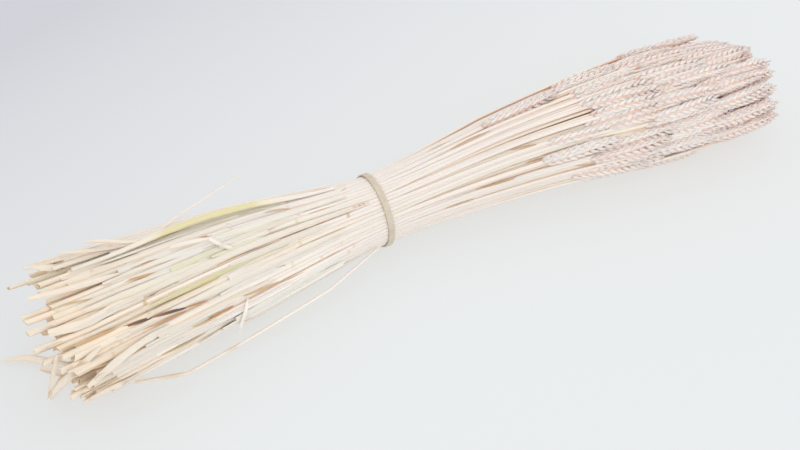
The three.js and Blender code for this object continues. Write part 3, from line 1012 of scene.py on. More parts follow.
def lay_ribbon(master, shape, course, width_at, across, draw, thickness, curl=0.3, wave=0.12, tone=None):
    """Copies the ribbon along a course: as wide as given, curled across, with wavy edges."""
    ribbon = copy_of(master)
    part = shape[:, 0]
    side = np.clip(shape[:, 1], -1, 1)
    middle = through_points(course, part)
    along = heading(course, part)
    across = np.asarray(across, dtype=float)
    if across.ndim == 1:
        across = np.tile(across, (len(part), 1))
    flat = across - along * np.sum(across * along, axis=1, keepdims=True)
    flat /= np.linalg.norm(flat, axis=1, keepdims=True)
    up = np.cross(along, flat)
    half = width_at(part) / 2
    phase = draw() * 3
    length = np.linalg.norm(np.diff(np.asarray(course), axis=0), axis=1).sum()
    ripple = np.sin(part * length / 0.006 + phase) * 0.5 + np.sin(part * length / 0.0023 + 2 * phase) * 0.25
    edge_shift = 1 + wave * ripple * np.abs(side) ** 3
    rise = half * curl * 2 * (1 - side**2) + half * wave * ripple * side**3
    wide = flat * (side * half * edge_shift * (1 - 0.25 * curl))[:, None]
    points = middle + wide + up * (rise - half * curl + shape[:, 2] * thickness)[:, None]
    points[:, 2] = np.maximum(points[:, 2], FLOOR_ROOM)
    place_points(ribbon, points)
    offset = 700 * draw()
    grain = np.stack((part * length / MM + offset, side * 3 + offset, np.zeros(len(part))), axis=1)
    set_values(ribbon, "grain", grain)
    set_values(ribbon, "tone", draw.between(0, 1) if tone is None else tone)
    return ribbon


def taper(part, blunt):
    """Width along a leaf, as a share of its full width, with its far end as blunt as given."""
    return np.minimum(0.35 + 3 * part, 1) * (1 - (1 - blunt) * np.clip((part - 0.7) / 0.3, 0, 1) ** 1.5)


def outward_at(degrees):
    """Direction out of the bundle at an angle round it, towards the cut ends."""
    angle = math.radians(degrees)
    out = np.array((0.0, math.cos(angle) / 0.049, math.sin(angle) / 0.034))
    return out / np.linalg.norm(out)


def on_bundle(x, degrees, height):
    """Point in the frame on the outer straws, at x and an angle round the bundle, and so far off it."""
    x = x * MM
    angle = math.radians(degrees)
    y = math.cos(angle) * outline_at(x, "half_width") + outline_at(x, "sideways")
    z = outline_at(x, "lowest") + outline_at(x, "half_height") * (1 + math.sin(angle))
    return np.array((x, float(y), float(z))) + SHIFT + outward_at(degrees) * (0.0022 + height * MM)


def model_wrap():
    """A papery sheath round a straw: a thin tube of unit length and radius, open along one side."""
    wrap = add_tube(WRAP_SIDES, "NOTHING")
    pick(wrap, "FACE", lambda centre, normal: normal.z > 0.9 or (normal.z > 0.7 and normal.y > 0))
    bpy.ops.mesh.delete(type="FACE")
    cut_in_rows(wrap, WRAP_ROWS)
    finish_editing()
    wall = wrap.modifiers.new("Wall", "SOLIDIFY")
    wall.thickness = 0.13
    wall.offset = 1
    apply_modifiers(wrap)
    smooth(wrap, 60)
    points = points_of(wrap)
    edge = np.abs(np.arctan2(points[:, 1], points[:, 2])) < 0.9
    start_values(wrap, edge=edge, tone=0, speckled=0, withered=0)
    return wrap


def lay_wrap(master, shape, stalk, start, end, radius, draw):
    """Copies the sheath round a stalk, its split edge lifting and its upper end cut aslant."""
    wrap = copy_of(master)
    angle = np.arctan2(shape[:, 1], shape[:, 2])
    part = shape[:, 0]
    slant = 0.05 * draw() * np.cos(angle)
    x = start + (end - start) * np.clip(part + slant * part, 0, 1.1)
    lift = draw.between(0.1, 0.75) * np.exp(-((angle - 0.75) ** 2) / 0.25)
    lift = lift * (0.35 + 0.65 * np.sin(part * 9 + 3 * draw()) ** 2)
    flare = 1 + 0.12 * part**6
    distance = np.linalg.norm(shape[:, 1:], axis=1) * radius * flare + lift * 0.0011
    towards = math.atan2(stalk.place[1], stalk.place[0]) + 1.1 * draw()
    turned = towards - angle
    points = stalk.middle(x)
    points[:, 1] += distance * np.cos(turned)
    points[:, 2] += distance * np.sin(turned)
    points[:, 2] = np.maximum(points[:, 2], FLOOR_ROOM)
    place_points(wrap, points)
    offset = 500 * draw()
    grain = np.stack((x / MM + offset, shape[:, 1] * 2.4 + offset, shape[:, 2] * 2.4), axis=1)
    set_values(wrap, "grain", grain)
    set_values(wrap, "tone", draw.between(0, 1))
    return wrap


# Shader parts


def add_node(tree, kind, settings=None, inputs=None):
    """Adds a shader node, sets its properties, and sets or links its inputs."""
    made = tree.nodes.new(kind)
    for name, value in (settings or {}).items():
        setattr(made, name, value)
    for name, value in (inputs or {}).items():
        if isinstance(value, bpy.types.NodeSocket):
            tree.links.new(value, made.inputs[name])
        else:
            made.inputs[name].default_value = value
    return made


def mix_colours(tree, factor, first, second):
    inputs = {0: factor}
    for index, value in ((6, first), (7, second)):
        inputs[index] = (*value, 1) if isinstance(value, tuple) else value
    return add_node(tree, "ShaderNodeMix", {"data_type": "RGBA"}, inputs).outputs[2]


def maths(tree, operation, first, second=0.0, clamp=False):
    return add_node(
        tree, "ShaderNodeMath", {"operation": operation, "use_clamp": clamp}, {0: first, 1: second}
    ).outputs[0]


def tint(tree, colour, mask, strength, shade, clamp=False):
    """Mixes a shade into a colour where a mask says, as strongly as given."""
    return mix_colours(tree, maths(tree, "MULTIPLY", mask, strength, clamp), colour, srgb(*shade))


def map_range(tree, value, low, high, to_low=0.0, to_high=1.0):
    inputs = {"Value": value, "From Min": low, "From Max": high, "To Min": to_low, "To Max": to_high}
    return add_node(tree, "ShaderNodeMapRange", None, inputs).outputs[0]


def attribute(tree, name, output="Fac"):
    return add_node(tree, "ShaderNodeAttribute", {"attribute_name": name}).outputs[output]


def ramp(tree, value, stops):
    made = add_node(tree, "ShaderNodeValToRGB", None, {"Fac": value})
    elements = made.color_ramp.elements
    while len(elements) < len(stops):
        elements.new(0.5)
    for element, (place, colour) in zip(elements, stops):
        element.position = place
        element.color = (*colour, 1)
    return made.outputs["Color"]


def fibre_group():
    """Long fine fibres along the grain: broad streaks, fine lines and scattered specks."""
    name = "Plant fibre"
    if name in bpy.data.node_groups:
        return bpy.data.node_groups[name]
    tree = bpy.data.node_groups.new(name, "ShaderNodeTree")
    tree.interface.new_socket(name="Grain", in_out="INPUT", socket_type="NodeSocketVector")
    tree.interface.new_socket(name="Fineness", in_out="INPUT", socket_type="NodeSocketFloat")
    for output in ("Streaks", "Lines", "Specks", "Dots"):
        tree.interface.new_socket(name=output, in_out="OUTPUT", socket_type="NodeSocketFloat")
    given = tree.nodes.new("NodeGroupInput")
    put_out = tree.nodes.new("NodeGroupOutput")

    def stretched(along, across, detail):
        wide = maths(tree, "MULTIPLY", given.outputs["Fineness"], across)
        scale = add_node(tree, "ShaderNodeCombineXYZ", None, {"X": along, "Y": wide, "Z": wide}).outputs[0]
        moved = add_node(
            tree, "ShaderNodeVectorMath", {"operation": "MULTIPLY"}, {0: given.outputs["Grain"], 1: scale}
        ).outputs[0]
        inputs = {"Vector": moved, "Scale": 1.0, "Detail": detail, "Roughness": 0.55}
        return add_node(tree, "ShaderNodeTexNoise", None, inputs).outputs["Fac"]

    streaks = map_range(tree, stretched(0.018, 0.7, 2.0), 0.3, 0.7)
    lines = map_range(tree, stretched(0.03, 3.2, 3.0), 0.32, 0.68)
    specks = map_range(tree, stretched(0.55, 1.3, 1.0), 0.70, 0.80)
    dots = map_range(tree, stretched(0.45, 0.5, 2.0), 0.50, 0.60)
    for output, value in (("Streaks", streaks), ("Lines", lines), ("Specks", specks), ("Dots", dots)):
        tree.links.new(value, put_out.inputs[output])
    return tree


def begin_material(name):
    material = bpy.data.materials.new(name)
    material.use_nodes = True
    tree = material.node_tree
    return material, tree, tree.nodes["Principled BSDF"]


def let_light_through(shader, weight):
    """Dry plant skin glows warm where light passes through it."""
    shader.inputs["Subsurface Weight"].default_value = weight
    shader.inputs["Subsurface Radius"].default_value = (1.0, 0.55, 0.35)
    shader.inputs["Subsurface Scale"].default_value = 0.003


def add_fibre(tree, fineness):
    fibre = tree.nodes.new("ShaderNodeGroup")
    fibre.node_tree = fibre_group()
    fibre.inputs["Fineness"].default_value = fineness
    tree.links.new(attribute(tree, "grain", "Vector"), fibre.inputs["Grain"])
    return [fibre.outputs[name] for name in ("Streaks", "Lines", "Specks", "Dots")]


def add_bump(tree, shader, height, strength, distance):
    inputs = {"Strength": strength, "Distance": distance, "Height": height}
    bump = add_node(tree, "ShaderNodeBump", None, inputs)
    tree.links.new(bump.outputs["Normal"], shader.inputs["Normal"])


def place_along(tree):
    """Place along the bundle, from the object's own coordinates."""
    coordinates = tree.nodes.new("ShaderNodeTexCoord")
    split = add_node(tree, "ShaderNodeSeparateXYZ", None, {0: coordinates.outputs["Object"]})
    return split.outputs["X"]


def straw_material(settings):
    """Bleached straw: cream, ivory, pink and a little green, in satin fibres, browner at the nodes.

    Painted shade darkens it near the band, on inner straws and on sides that face into the bundle.
    """
    if "Bleached straw" in bpy.data.materials:
        return bpy.data.materials["Bleached straw"]
    material, tree, shader = begin_material("Bleached straw")
    let_light_through(shader, 0.22)
    streaks, lines, specks, _ = add_fibre(tree, 1.0)
    tones = (
        (0.0, tuple(settings.green_colour)),
        (0.05, srgb(243, 239, 226)),
        (0.2, tuple(settings.straw_colour)),
        (0.42, srgb(248, 243, 239)),
        (0.65, srgb(248, 238, 232)),
        (0.86, srgb(244, 234, 217)),
        (1.0, srgb(248, 244, 240)),
    )
    colour = ramp(tree, attribute(tree, "tone"), tones)
    x = place_along(tree)
    pink = map_range(tree, x, 0.02, 0.22, 0.0, 0.6)
    colour = mix_colours(tree, pink, colour, srgb(249, 238, 231))
    warm = map_range(tree, x, -0.16, -0.32, 0.0, 0.8)
    colour = mix_colours(tree, warm, colour, srgb(237, 218, 192))
    # Painted shade: straws are mixed towards a greyer, darker colour on both sides of the band
    behind, before = map_range(tree, x, -0.13, -0.07), map_range(tree, x, 0.15, 0.06, 0.0, 0.5)
    tied = maths(tree, "MULTIPLY", behind, before)
    colour = mix_colours(tree, tied, colour, srgb(226, 220, 217))
    colour = tint(tree, colour, streaks, 0.2, (248, 231, 213))
    colour = tint(tree, colour, lines, 0.2, (235, 212, 190))
    colour = tint(tree, colour, specks, 0.25, (206, 166, 122))
    # Painted shade: inner straws tinted gold, weak at the cut end, strong from there to the band, a little
    # weaker past it
    inside = map_range(tree, x, -0.27, -0.16, 0.15, 0.9)
    inside = maths(tree, "MULTIPLY", inside, map_range(tree, x, -0.06, 0.0, 1.0, 0.85))
    depth = maths(tree, "MULTIPLY", attribute(tree, "depth"), 0.9)
    colour = tint(tree, colour, depth, inside, (242, 180, 104))
    # Painted shade: sides that face into the bundle take the gap shade colour, turning a paler tan past the
    # band
    inward = maths(tree, "MULTIPLY", attribute(tree, "inward"), 0.8)
    crevice = tuple(settings.crevice_colour)
    painted_crease_shade = mix_colours(tree, map_range(tree, x, -0.1, 0.02), crevice, srgb(206, 170, 144))
    colour = mix_colours(tree, maths(tree, "MULTIPLY", inward, inside), colour, painted_crease_shade)
    colour = tint(tree, colour, attribute(tree, "node"), 0.36, (196, 172, 118), True)
    colour = tint(tree, colour, attribute(tree, "hollow"), 0.3, (214, 176, 126))
    colour = tint(tree, colour, attribute(tree, "rust"), 0.6, (216, 142, 98))
    tree.links.new(colour, shader.inputs["Base Color"])
    tree.links.new(map_range(tree, lines, 0, 1, 0.42, 0.66), shader.inputs["Roughness"])
    add_bump(tree, shader, lines, 0.5, 0.00018)
    return material


def leaf_material(settings):
    """Papery leaf: pale, matt, finely veined along its length, a little brown at its torn edges.

    The slivers go gold to nearly black, partly as shrivelled leaf and partly as painted shade between the
    straws.
    """
    if "Papery leaf" in bpy.data.materials:
        return bpy.data.materials["Papery leaf"]
    material, tree, shader = begin_material("Papery leaf")
    let_light_through(shader, 0.22)
    streaks, lines, _, dots = add_fibre(tree, 1.15)
    tones = (
        (0.0, srgb(222, 216, 160)),
        (0.04, srgb(237, 233, 200)),
        (0.1, srgb(246, 241, 223)),
        (0.3, tuple(settings.leaf_colour)),
        (0.55, srgb(250, 246, 240)),
        (0.8, srgb(250, 239, 230)),
        (1.0, srgb(247, 235, 218)),
    )
    colour = ramp(tree, attribute(tree, "tone"), tones)
    warm = map_range(tree, place_along(tree), -0.2, -0.31, 0.0, 0.55)
    colour = mix_colours(tree, warm, colour, srgb(239, 221, 196))
    colour = tint(tree, colour, streaks, 0.3, (242, 221, 196))
    colour = tint(tree, colour, lines, 0.13, (236, 212, 184))
    edge = maths(tree, "MULTIPLY", attribute(tree, "edge"), 0.35)
    colour = tint(tree, colour, edge, streaks, (196, 160, 110))
    colour = tint(tree, colour, attribute(tree, "speckled"), dots, (158, 106, 62))
    # Painted shade and shrivelled leaf: gold to nearly black on the slivers
    withered = attribute(tree, "withered")
    browns = ((0.2, srgb(222, 184, 128)), (0.6, srgb(198, 124, 76)), (0.9, srgb(66, 44, 32)))
    browned = maths(
        tree, "MULTIPLY", map_range(tree, withered, 0, 0.2), map_range(tree, lines, 0, 1, 1.0, 0.8)
    )
    colour = mix_colours(tree, browned, colour, ramp(tree, withered, browns))
    tree.links.new(colour, shader.inputs["Base Color"])
    tree.links.new(map_range(tree, streaks, 0, 1, 0.6, 0.8), shader.inputs["Roughness"])
    add_bump(tree, shader, lines, 0.6, 0.0002)
    return material


def ear_material(settings):
    """Husks: pale pink cream, ribbed along their length.

    Painted salmon-brown shade lies down between the husks and on sides that face into the bundle, with a
    painted highlight on their keels.
    """
    material, tree, shader = begin_material("Pink ear")
    let_light_through(shader, 0.4)
    streaks, lines, _, _ = add_fibre(tree, 1.3)
    tones = (
        (0.0, srgb(255, 231, 221)),
        (0.35, tuple(settings.ear_colour)),
        (0.7, srgb(255, 243, 235)),
        (1.0, srgb(255, 234, 224)),
    )
    colour = ramp(tree, attribute(tree, "tone"), tones)
    colour = tint(tree, colour, attribute(tree, "husk_tone"), 0.15, (255, 228, 217))
    far = map_range(tree, place_along(tree), 0.16, 0.32, 0.0, 0.45)
    colour = mix_colours(tree, far, colour, srgb(255, 223, 216))
    colour = tint(tree, colour, lines, 0.13, (245, 219, 206))
    # Painted highlight: paler on the keels, the husks' outer sides
    colour = tint(tree, colour, attribute(tree, "keel"), 0.15, (253, 243, 237))
    # Painted shade: salmon brown at the husks' feet, towards the ear's middle and on their undersides
    painted_husk_foot_shade = map_range(tree, attribute(tree, "part"), 0.14, 0.0, 0.0, 0.4)
    crevice = maths(tree, "MAXIMUM", map_range(tree, attribute(tree, "crevice"), 0.3, 0.8), painted_husk_foot_shade)
    crevice = maths(tree, "MAXIMUM", crevice, attribute(tree, "under"))
    colour = tint(tree, colour, crevice, 0.38, (238, 168, 138))
    # Painted shade: rose on the inner ears and brown on sides that face into the bundle
    colour = tint(tree, colour, attribute(tree, "depth"), 0.5, (246, 206, 186))
    colour = tint(tree, colour, attribute(tree, "inward"), 0.6, (208, 146, 112))
    colour = tint(tree, colour, attribute(tree, "rust"), 0.6, (216, 142, 98))
    tree.links.new(colour, shader.inputs["Base Color"])
    tree.links.new(map_range(tree, streaks, 0, 1, 0.5, 0.72), shader.inputs["Roughness"])
    add_bump(tree, shader, lines, 0.5, 0.00025)
    return material


def rubber_material(settings):
    """Tan rubber: satin, faintly mottled and powdery."""
    material, tree, shader = begin_material("Tan rubber")
    coordinates = tree.nodes.new("ShaderNodeTexCoord").outputs["Object"]
    mottle, powder = (
        add_node(
            tree, "ShaderNodeTexNoise", None,
            {"Vector": coordinates, "Scale": scale, "Detail": detail, "Roughness": 0.6},
        ).outputs["Fac"]
        for scale, detail in ((160.0, 3.0), (1400.0, 2.0))
    )
    rubber = tuple(settings.rubber_colour)
    colour = mix_colours(tree, map_range(tree, mottle, 0.35, 0.7), rubber, srgb(194, 180, 157))
    colour = mix_colours(tree, map_range(tree, powder, 0.5, 0.75, 0.0, 0.4), colour, srgb(226, 216, 196))
    tree.links.new(colour, shader.inputs["Base Color"])
    tree.links.new(map_range(tree, powder, 0.3, 0.7, 0.42, 0.6), shader.inputs["Roughness"])
    add_bump(tree, shader, powder, 0.35, 0.0001)
    return material


def floor_material(settings):
    """Pale matt surface that gives off light, a little less of it towards the far left."""
    material, tree, shader = begin_material("Pale floor")
    shader.inputs["Roughness"].default_value = 0.85
    coordinates = tree.nodes.new("ShaderNodeTexCoord").outputs["Object"]
    far_left = add_node(
        tree, "ShaderNodeVectorMath", {"operation": "DOT_PRODUCT"}, {0: coordinates, 1: (-0.406, 0.914, 0.0)}
    ).outputs["Value"]
    shade = maths(tree, "POWER", map_range(tree, far_left, -0.15, 0.5), 2.0)
    shader.inputs["Base Color"].default_value = (*settings.floor_colour, 1)
    glow = mix_colours(tree, shade, srgb(255, 248, 241), srgb(217, 206, 208))
    tree.links.new(glow, shader.inputs["Emission Color"])
    shader.inputs["Emission Strength"].default_value = settings.floor_glow
    return material


# Operators


class WHEAT_OT_straws(bpy.types.Operator):
    """Lay the straws of the bundle, from the cut ends to the ears"""

    bl_idname = "wheat.straws"
    bl_label = "Straws"

    def execute(self, context):
        settings = context.scene.wheat
        material = straw_material(settings)
        master = model_straw()
        shape = points_of(master)
        draw = Draws(SEEDS["straws"])
        radii = (settings.straw_radius, PRESSED_RADIUS, settings.neck_radius)
        filler_radii = (settings.filler_radius, FILLER_PRESSED_RADIUS, settings.neck_radius)
        for number, group in enumerate(GROUPS, 1):
            straws = [lay_straw(master, shape, stalk, draw, radii) for stalk in group]
            hand_over(straws, f"straws_{number:02d}", "straw", material, f"stalks_{number:02d}")
        for number, group in in_lots(FILLERS, FILLERS_TO_A_PIECE):
            straws = [lay_straw(master, shape, stalk, draw, filler_radii) for stalk in group]
            hand_over(straws, f"filler_straws_{number:02d}", "straw", material)
        discard(master)
        return {"FINISHED"}


class WHEAT_OT_ears(bpy.types.Operator):
    """Set an ear of overlapping spikelets on every stalk"""

    bl_idname = "wheat.ears"
    bl_label = "Ears"

    def execute(self, context):
        settings = context.scene.wheat
        material = ear_material(settings)
        husk, core = model_husk(), model_core()
        draw = Draws(SEEDS["ears"])
        masters = [model_ear(husk, core, draw, settings, f"ear_shape_{i}") for i in range(EAR_SHAPES)]
        masters.append(model_ear(husk, core, draw, settings, "hidden_ear_shape", SPIKELET_HUSKS[:2]))
        shapes = [points_of(master) for master in masters]

        def ear_on(stalk):
            choice = int(draw.between(0, EAR_SHAPES - 0.001))
            if stalk.ring < HIDDEN_RING:
                choice = EAR_SHAPES
            return lay_ear(masters[choice], shapes[choice], stalk, draw)

        for number, group in enumerate(GROUPS, 1):
            ears = [ear_on(stalk) for stalk in group]
            hand_over(ears, f"ears_{number:02d}", "ears", material, f"stalks_{number:02d}")
        for number, group in in_lots(FILLERS, FILLERS_TO_A_PIECE):
            hand_over([ear_on(stalk) for stalk in group], f"filler_ears_{number:02d}", "ears", material)
        discard(husk, core, *masters)
        return {"FINISHED"}


class WHEAT_OT_band(bpy.types.Operator):
    """Stretch the flat rubber band round the bundle"""

    bl_idname = "wheat.band"
    bl_label = "Rubber band"

    def execute(self, context):
        settings = context.scene.wheat
        radius = (BAND_HIGH.z - BAND_LOW.z) / 2
        clear_selection()
        bpy.ops.mesh.primitive_cylinder_add(
            vertices=120, radius=radius, depth=settings.band_width, end_fill_type="NOTHING",
            location=BAND_MIDDLE, rotation=(0, math.pi / 2, 0),
        )
        band = bpy.context.object
        apply_place(band)
        pick(band, "EDGE", lambda one, other: abs(one.x - other.x) > 0.001)
        bpy.ops.mesh.subdivide(number_cuts=3)
        finish_editing()
        wall = band.modifiers.new("Wall", "SOLIDIFY")
        wall.thickness = settings.band_thickness
        wall.offset = -1
        edge = band.modifiers.new("Soft edge", "BEVEL")
        edge.width = BAND_ROUNDING
        edge.segments = 2
        edge.limit_method = "ANGLE"
        edge.angle_limit = math.radians(50)
        apply_modifiers(band)
        points = points_of(band)
        offset = points - np.array(BAND_MIDDLE)
        angle = np.arctan2(offset[:, 2], offset[:, 1])
        press = -BAND_PRESS - BAND_RIPPLE * np.cos(angle * len(OUTER_STALKS)) + BAND_WAVE * np.sin(angle * 7)
        scale = 1 + press / np.linalg.norm(offset[:, 1:], axis=1)
        points[:, 1:] = np.array(BAND_MIDDLE)[1:] + offset[:, 1:] * scale[:, None]
        points[:, 0] += BAND_STRAY * np.sin(angle * 2 + 0.7)
        place_points(band, points)
        smooth(band, 40)
        hand_over([band], "rubber_band", "rubber_band", rubber_material(settings), "band")
        return {"FINISHED"}


def nearest_outer(across, up):
    target = np.array((across, up)) * PACK_RADIUS
    return min(OUTER_STALKS, key=lambda stalk: np.linalg.norm(stalk.place - target))


def course_from(start, steps):
    points = [np.array(start)] + [np.array(start) + np.array(step) * MM for step in steps]
    for point in points:
        point[2] = max(point[2], 0.0008)
    return points


class WHEAT_OT_sheaths(bpy.types.Operator):
    """Wrap leaf sheaths round the straws, and lay the loose ones along them"""

    bl_idname = "wheat.sheaths"
    bl_label = "Leaf sheaths"

    def execute(self, context):
        settings = context.scene.wheat
        material = leaf_material(settings)
        ribbon = model_ribbon()
        shape = points_of(ribbon)
        draw = Draws(SEEDS["sheaths"])
        seated = Draws(SHEATH_DRAW.state)
        for number in range(1, SHEATH_COUNT + 1):
            stalk = OUTER_STALKS[(28 + 2 * number) % len(OUTER_STALKS)]
            start = -0.024 - 0.016 * abs(seated())
            end = stalk.cut_x + 0.020 + 0.020 * abs(seated())
            bulge = BULGE_HEIGHT if number == BULGING_SHEATH else 0
            parts = np.linspace(0, 1, 9)
            stand = SHEATH_SEAT - 0.0007 + bulge * np.sin(np.pi * parts) ** 2
            course = stalk.middle(start + (end - start) * parts) + stalk.outward() * stand[:, None]
            aside = np.cross(stalk.outward(), (-1.0, 0.0, 0.0))
            wide = SHEATH_WIDTH * (1.45 if bulge else 1.1)
            piece = lay_ribbon(
                ribbon, shape, course,
                lambda part: wide * (0.35 + 0.65 * np.sin(np.pi * (0.08 + 0.84 * part))),
                aside, draw, settings.sheath_thickness,
            )
            if bulge:
                away = 1.5 * np.maximum(np.abs(shape[:, 0] - 0.5) - 0.17, 0) + 0.35 * (shape[:, 1] < -0.8)
                set_values(piece, "tone", np.clip(away, 0, 0.5))
            hand_over([piece], f"leaf_sheath_{number:02d}", "leaf", material, f"sheath_{number:02d}")
        discard(ribbon)
        self.wrap_straws(settings, material)
        return {"FINISHED"}

    def wrap_straws(self, settings, material):
        wrap = model_wrap()
        shape = points_of(wrap)
        draw = Draws(SEEDS["wraps"])
        wraps = []
        for stalk in OUTER_STALKS + FILLERS[: len(OUTER_STALKS)]:
            radius = (settings.straw_radius if stalk in OUTER_STALKS else settings.filler_radius) * WRAP_ROOM
            end = draw.between(-0.15, -0.02)
            start = max(stalk.cut_x + draw.between(-0.004, 0.03), end - draw.between(0.09, 0.19))
            wraps.append(lay_wrap(wrap, shape, stalk, start, end, radius, draw))
        for number, lot in in_lots(wraps, WRAPS_TO_A_PIECE):
            hand_over(lot, f"straw_wraps_{number:02d}", "leaf", material)
        discard(wrap)


class WHEAT_OT_strips(bpy.types.Operator):
    """Lay loose papery leaf strips among the outer straws, between the band and the cut ends"""

    bl_idname = "wheat.strips"
    bl_label = "Loose strips"

    def execute(self, context):
        settings = context.scene.wheat
        material = leaf_material(settings)
        ribbon = model_ribbon(28, 4)
        shape = points_of(ribbon)
        draw = Draws(SEEDS["strips"])
        strips = [self.lay_strip(ribbon, shape, i, draw, settings) for i in range(STRIP_COUNT)]
        for number, lot in in_lots(strips, STRIPS_TO_A_PIECE):
            hand_over(lot, f"leaf_strips_{number:02d}", "leaf", material)
        narrow = model_ribbon(12, 2)
        slivers = self.lay_slivers(narrow, points_of(narrow), draw)
        hand_over(slivers, "withered_slivers", "leaf", material)
        discard(ribbon, narrow)
        return {"FINISHED"}

    def lay_slivers(self, narrow, shape, draw):
        places = [(*place, SLIVER_HEIGHT)[:7] for place in SLIVERS]
        # Drawn slivers: painted shade, gold to rust, set low in the gaps between the outer straws all round
        for index in range(DRAWN_SLIVERS):
            degrees = 3 + 6 * round((index + 0.5) / DRAWN_SLIVERS * 60) + 1.2 * draw()
            fore = index % 5 == 0
            x = draw.between(30, 130) if fore else draw.between(-250, -60)
            brown = draw.between(0.4, 0.6) if fore else draw.between(0.2, 0.65)
            wide = draw.between(0.8, 1.3) if fore else draw.between(1.2, 2.4)
            end_x, end_degrees = x + draw.between(18, 52), degrees + 2.5 * draw()
            places.append((x, degrees, end_x, end_degrees, wide, brown, DRAWN_SLIVER_HEIGHT))
        slivers = []
        for x, degrees, end_x, end_degrees, wide, brown, height in places:
            course = []
            for part in np.linspace(0, 1, 5):
                arched = height - 1.3 * (2 * part - 1) ** 2
                turned = degrees + (end_degrees - degrees) * part
                course.append(on_bundle(x + (end_x - x) * part, turned, arched))
            across = np.cross(outward_at(degrees), (-1.0, 0.0, 0.0))
            sliver = lay_ribbon(
                narrow, shape, np.array(course),
                lambda part: wide * MM * np.sin(np.pi * (0.04 + 0.92 * part)) ** 0.7,
                across, draw, 0.0002, curl=0.1, wave=0.1,
            )
            # Painted shade: each sliver browner down its middle than at its edges, like a shadowed fold
            fade = 1 - (0.3 if brown > 0.9 else 0.7) * np.abs(np.clip(shape[:, 1], -1, 1))
            set_values(sliver, "withered", brown * (0.8 + 0.4 * shape[:, 0]) * fade)
            slivers.append(sliver)
        return slivers

    def lay_strip(self, ribbon, shape, index, draw, settings):
        degrees = (index + 0.5 * draw()) / STRIP_COUNT * 360
        end = draw.between(-270 if LONG_STRIPS[0] < degrees < LONG_STRIPS[1] else -256, -130)
        if SHORT_STRIPS[0] < degrees < SHORT_STRIPS[1]:
            end = draw.between(-158, -130)
        start = min(end + draw.between(45, 160), -22)
        drift = 10 * draw() * (0.4 + 0.6 * abs(draw()))
        low = draw.between(-1.7, 0.6)
        lift = draw.between(-0.5, 1.2 if LOW_STRIPS[0] < degrees < LOW_STRIPS[1] else 3.0)
        course = []
        for part in np.linspace(0, 1, 7):
            height = low + lift * part**3 - 1.2 * (1 - part) ** 4
            course.append(on_bundle(start + (end - start) * part, degrees + drift * (part - 0.3), height))
        outward = outward_at(degrees)
        aside = np.cross(outward, (-1.0, 0.0, 0.0))
        tilt = 0.4 * draw()
        across = aside * math.cos(tilt) + outward * math.sin(tilt)
        wide = draw.between(0.0028, 0.0072)
        blunt = draw.between(0.35, 0.95)
        return lay_ribbon(
            ribbon, shape, np.array(course), lambda part: wide * taper(part, blunt), across,
            draw, settings.sheath_thickness, curl=draw.between(0.1, 0.5), wave=draw.between(0.04, 0.16),
        )


class WHEAT_OT_tails(bpy.types.Operator):
    """Hang torn leaf sheaths from the cut ends"""

    bl_idname = "wheat.tails"
    bl_label = "Torn sheaths"

    def execute(self, context):
        settings = context.scene.wheat
        material = leaf_material(settings)
        ribbon = model_ribbon()
        shape = points_of(ribbon)
        draw = Draws(SEEDS["tails"])
        for number, (place, width, steps) in enumerate(TAILS, 1):
            stalk = nearest_outer(*place)
            start = stalk.middle(stalk.cut_x)[0] - (TAIL_START, 0, 0)
            course = course_from(start, steps)
            piece = lay_ribbon(
                ribbon, shape, course, lambda part: 1.4 * width * MM * (1 - 0.7 * part**3), (0, 1, 0.15),
                draw, settings.sheath_thickness, tone=0.55,
            )
            hand_over([piece], f"torn_sheath_{number:02d}", "leaf", material, f"tail_{number:02d}")
        discard(ribbon)
        return {"FINISHED"}


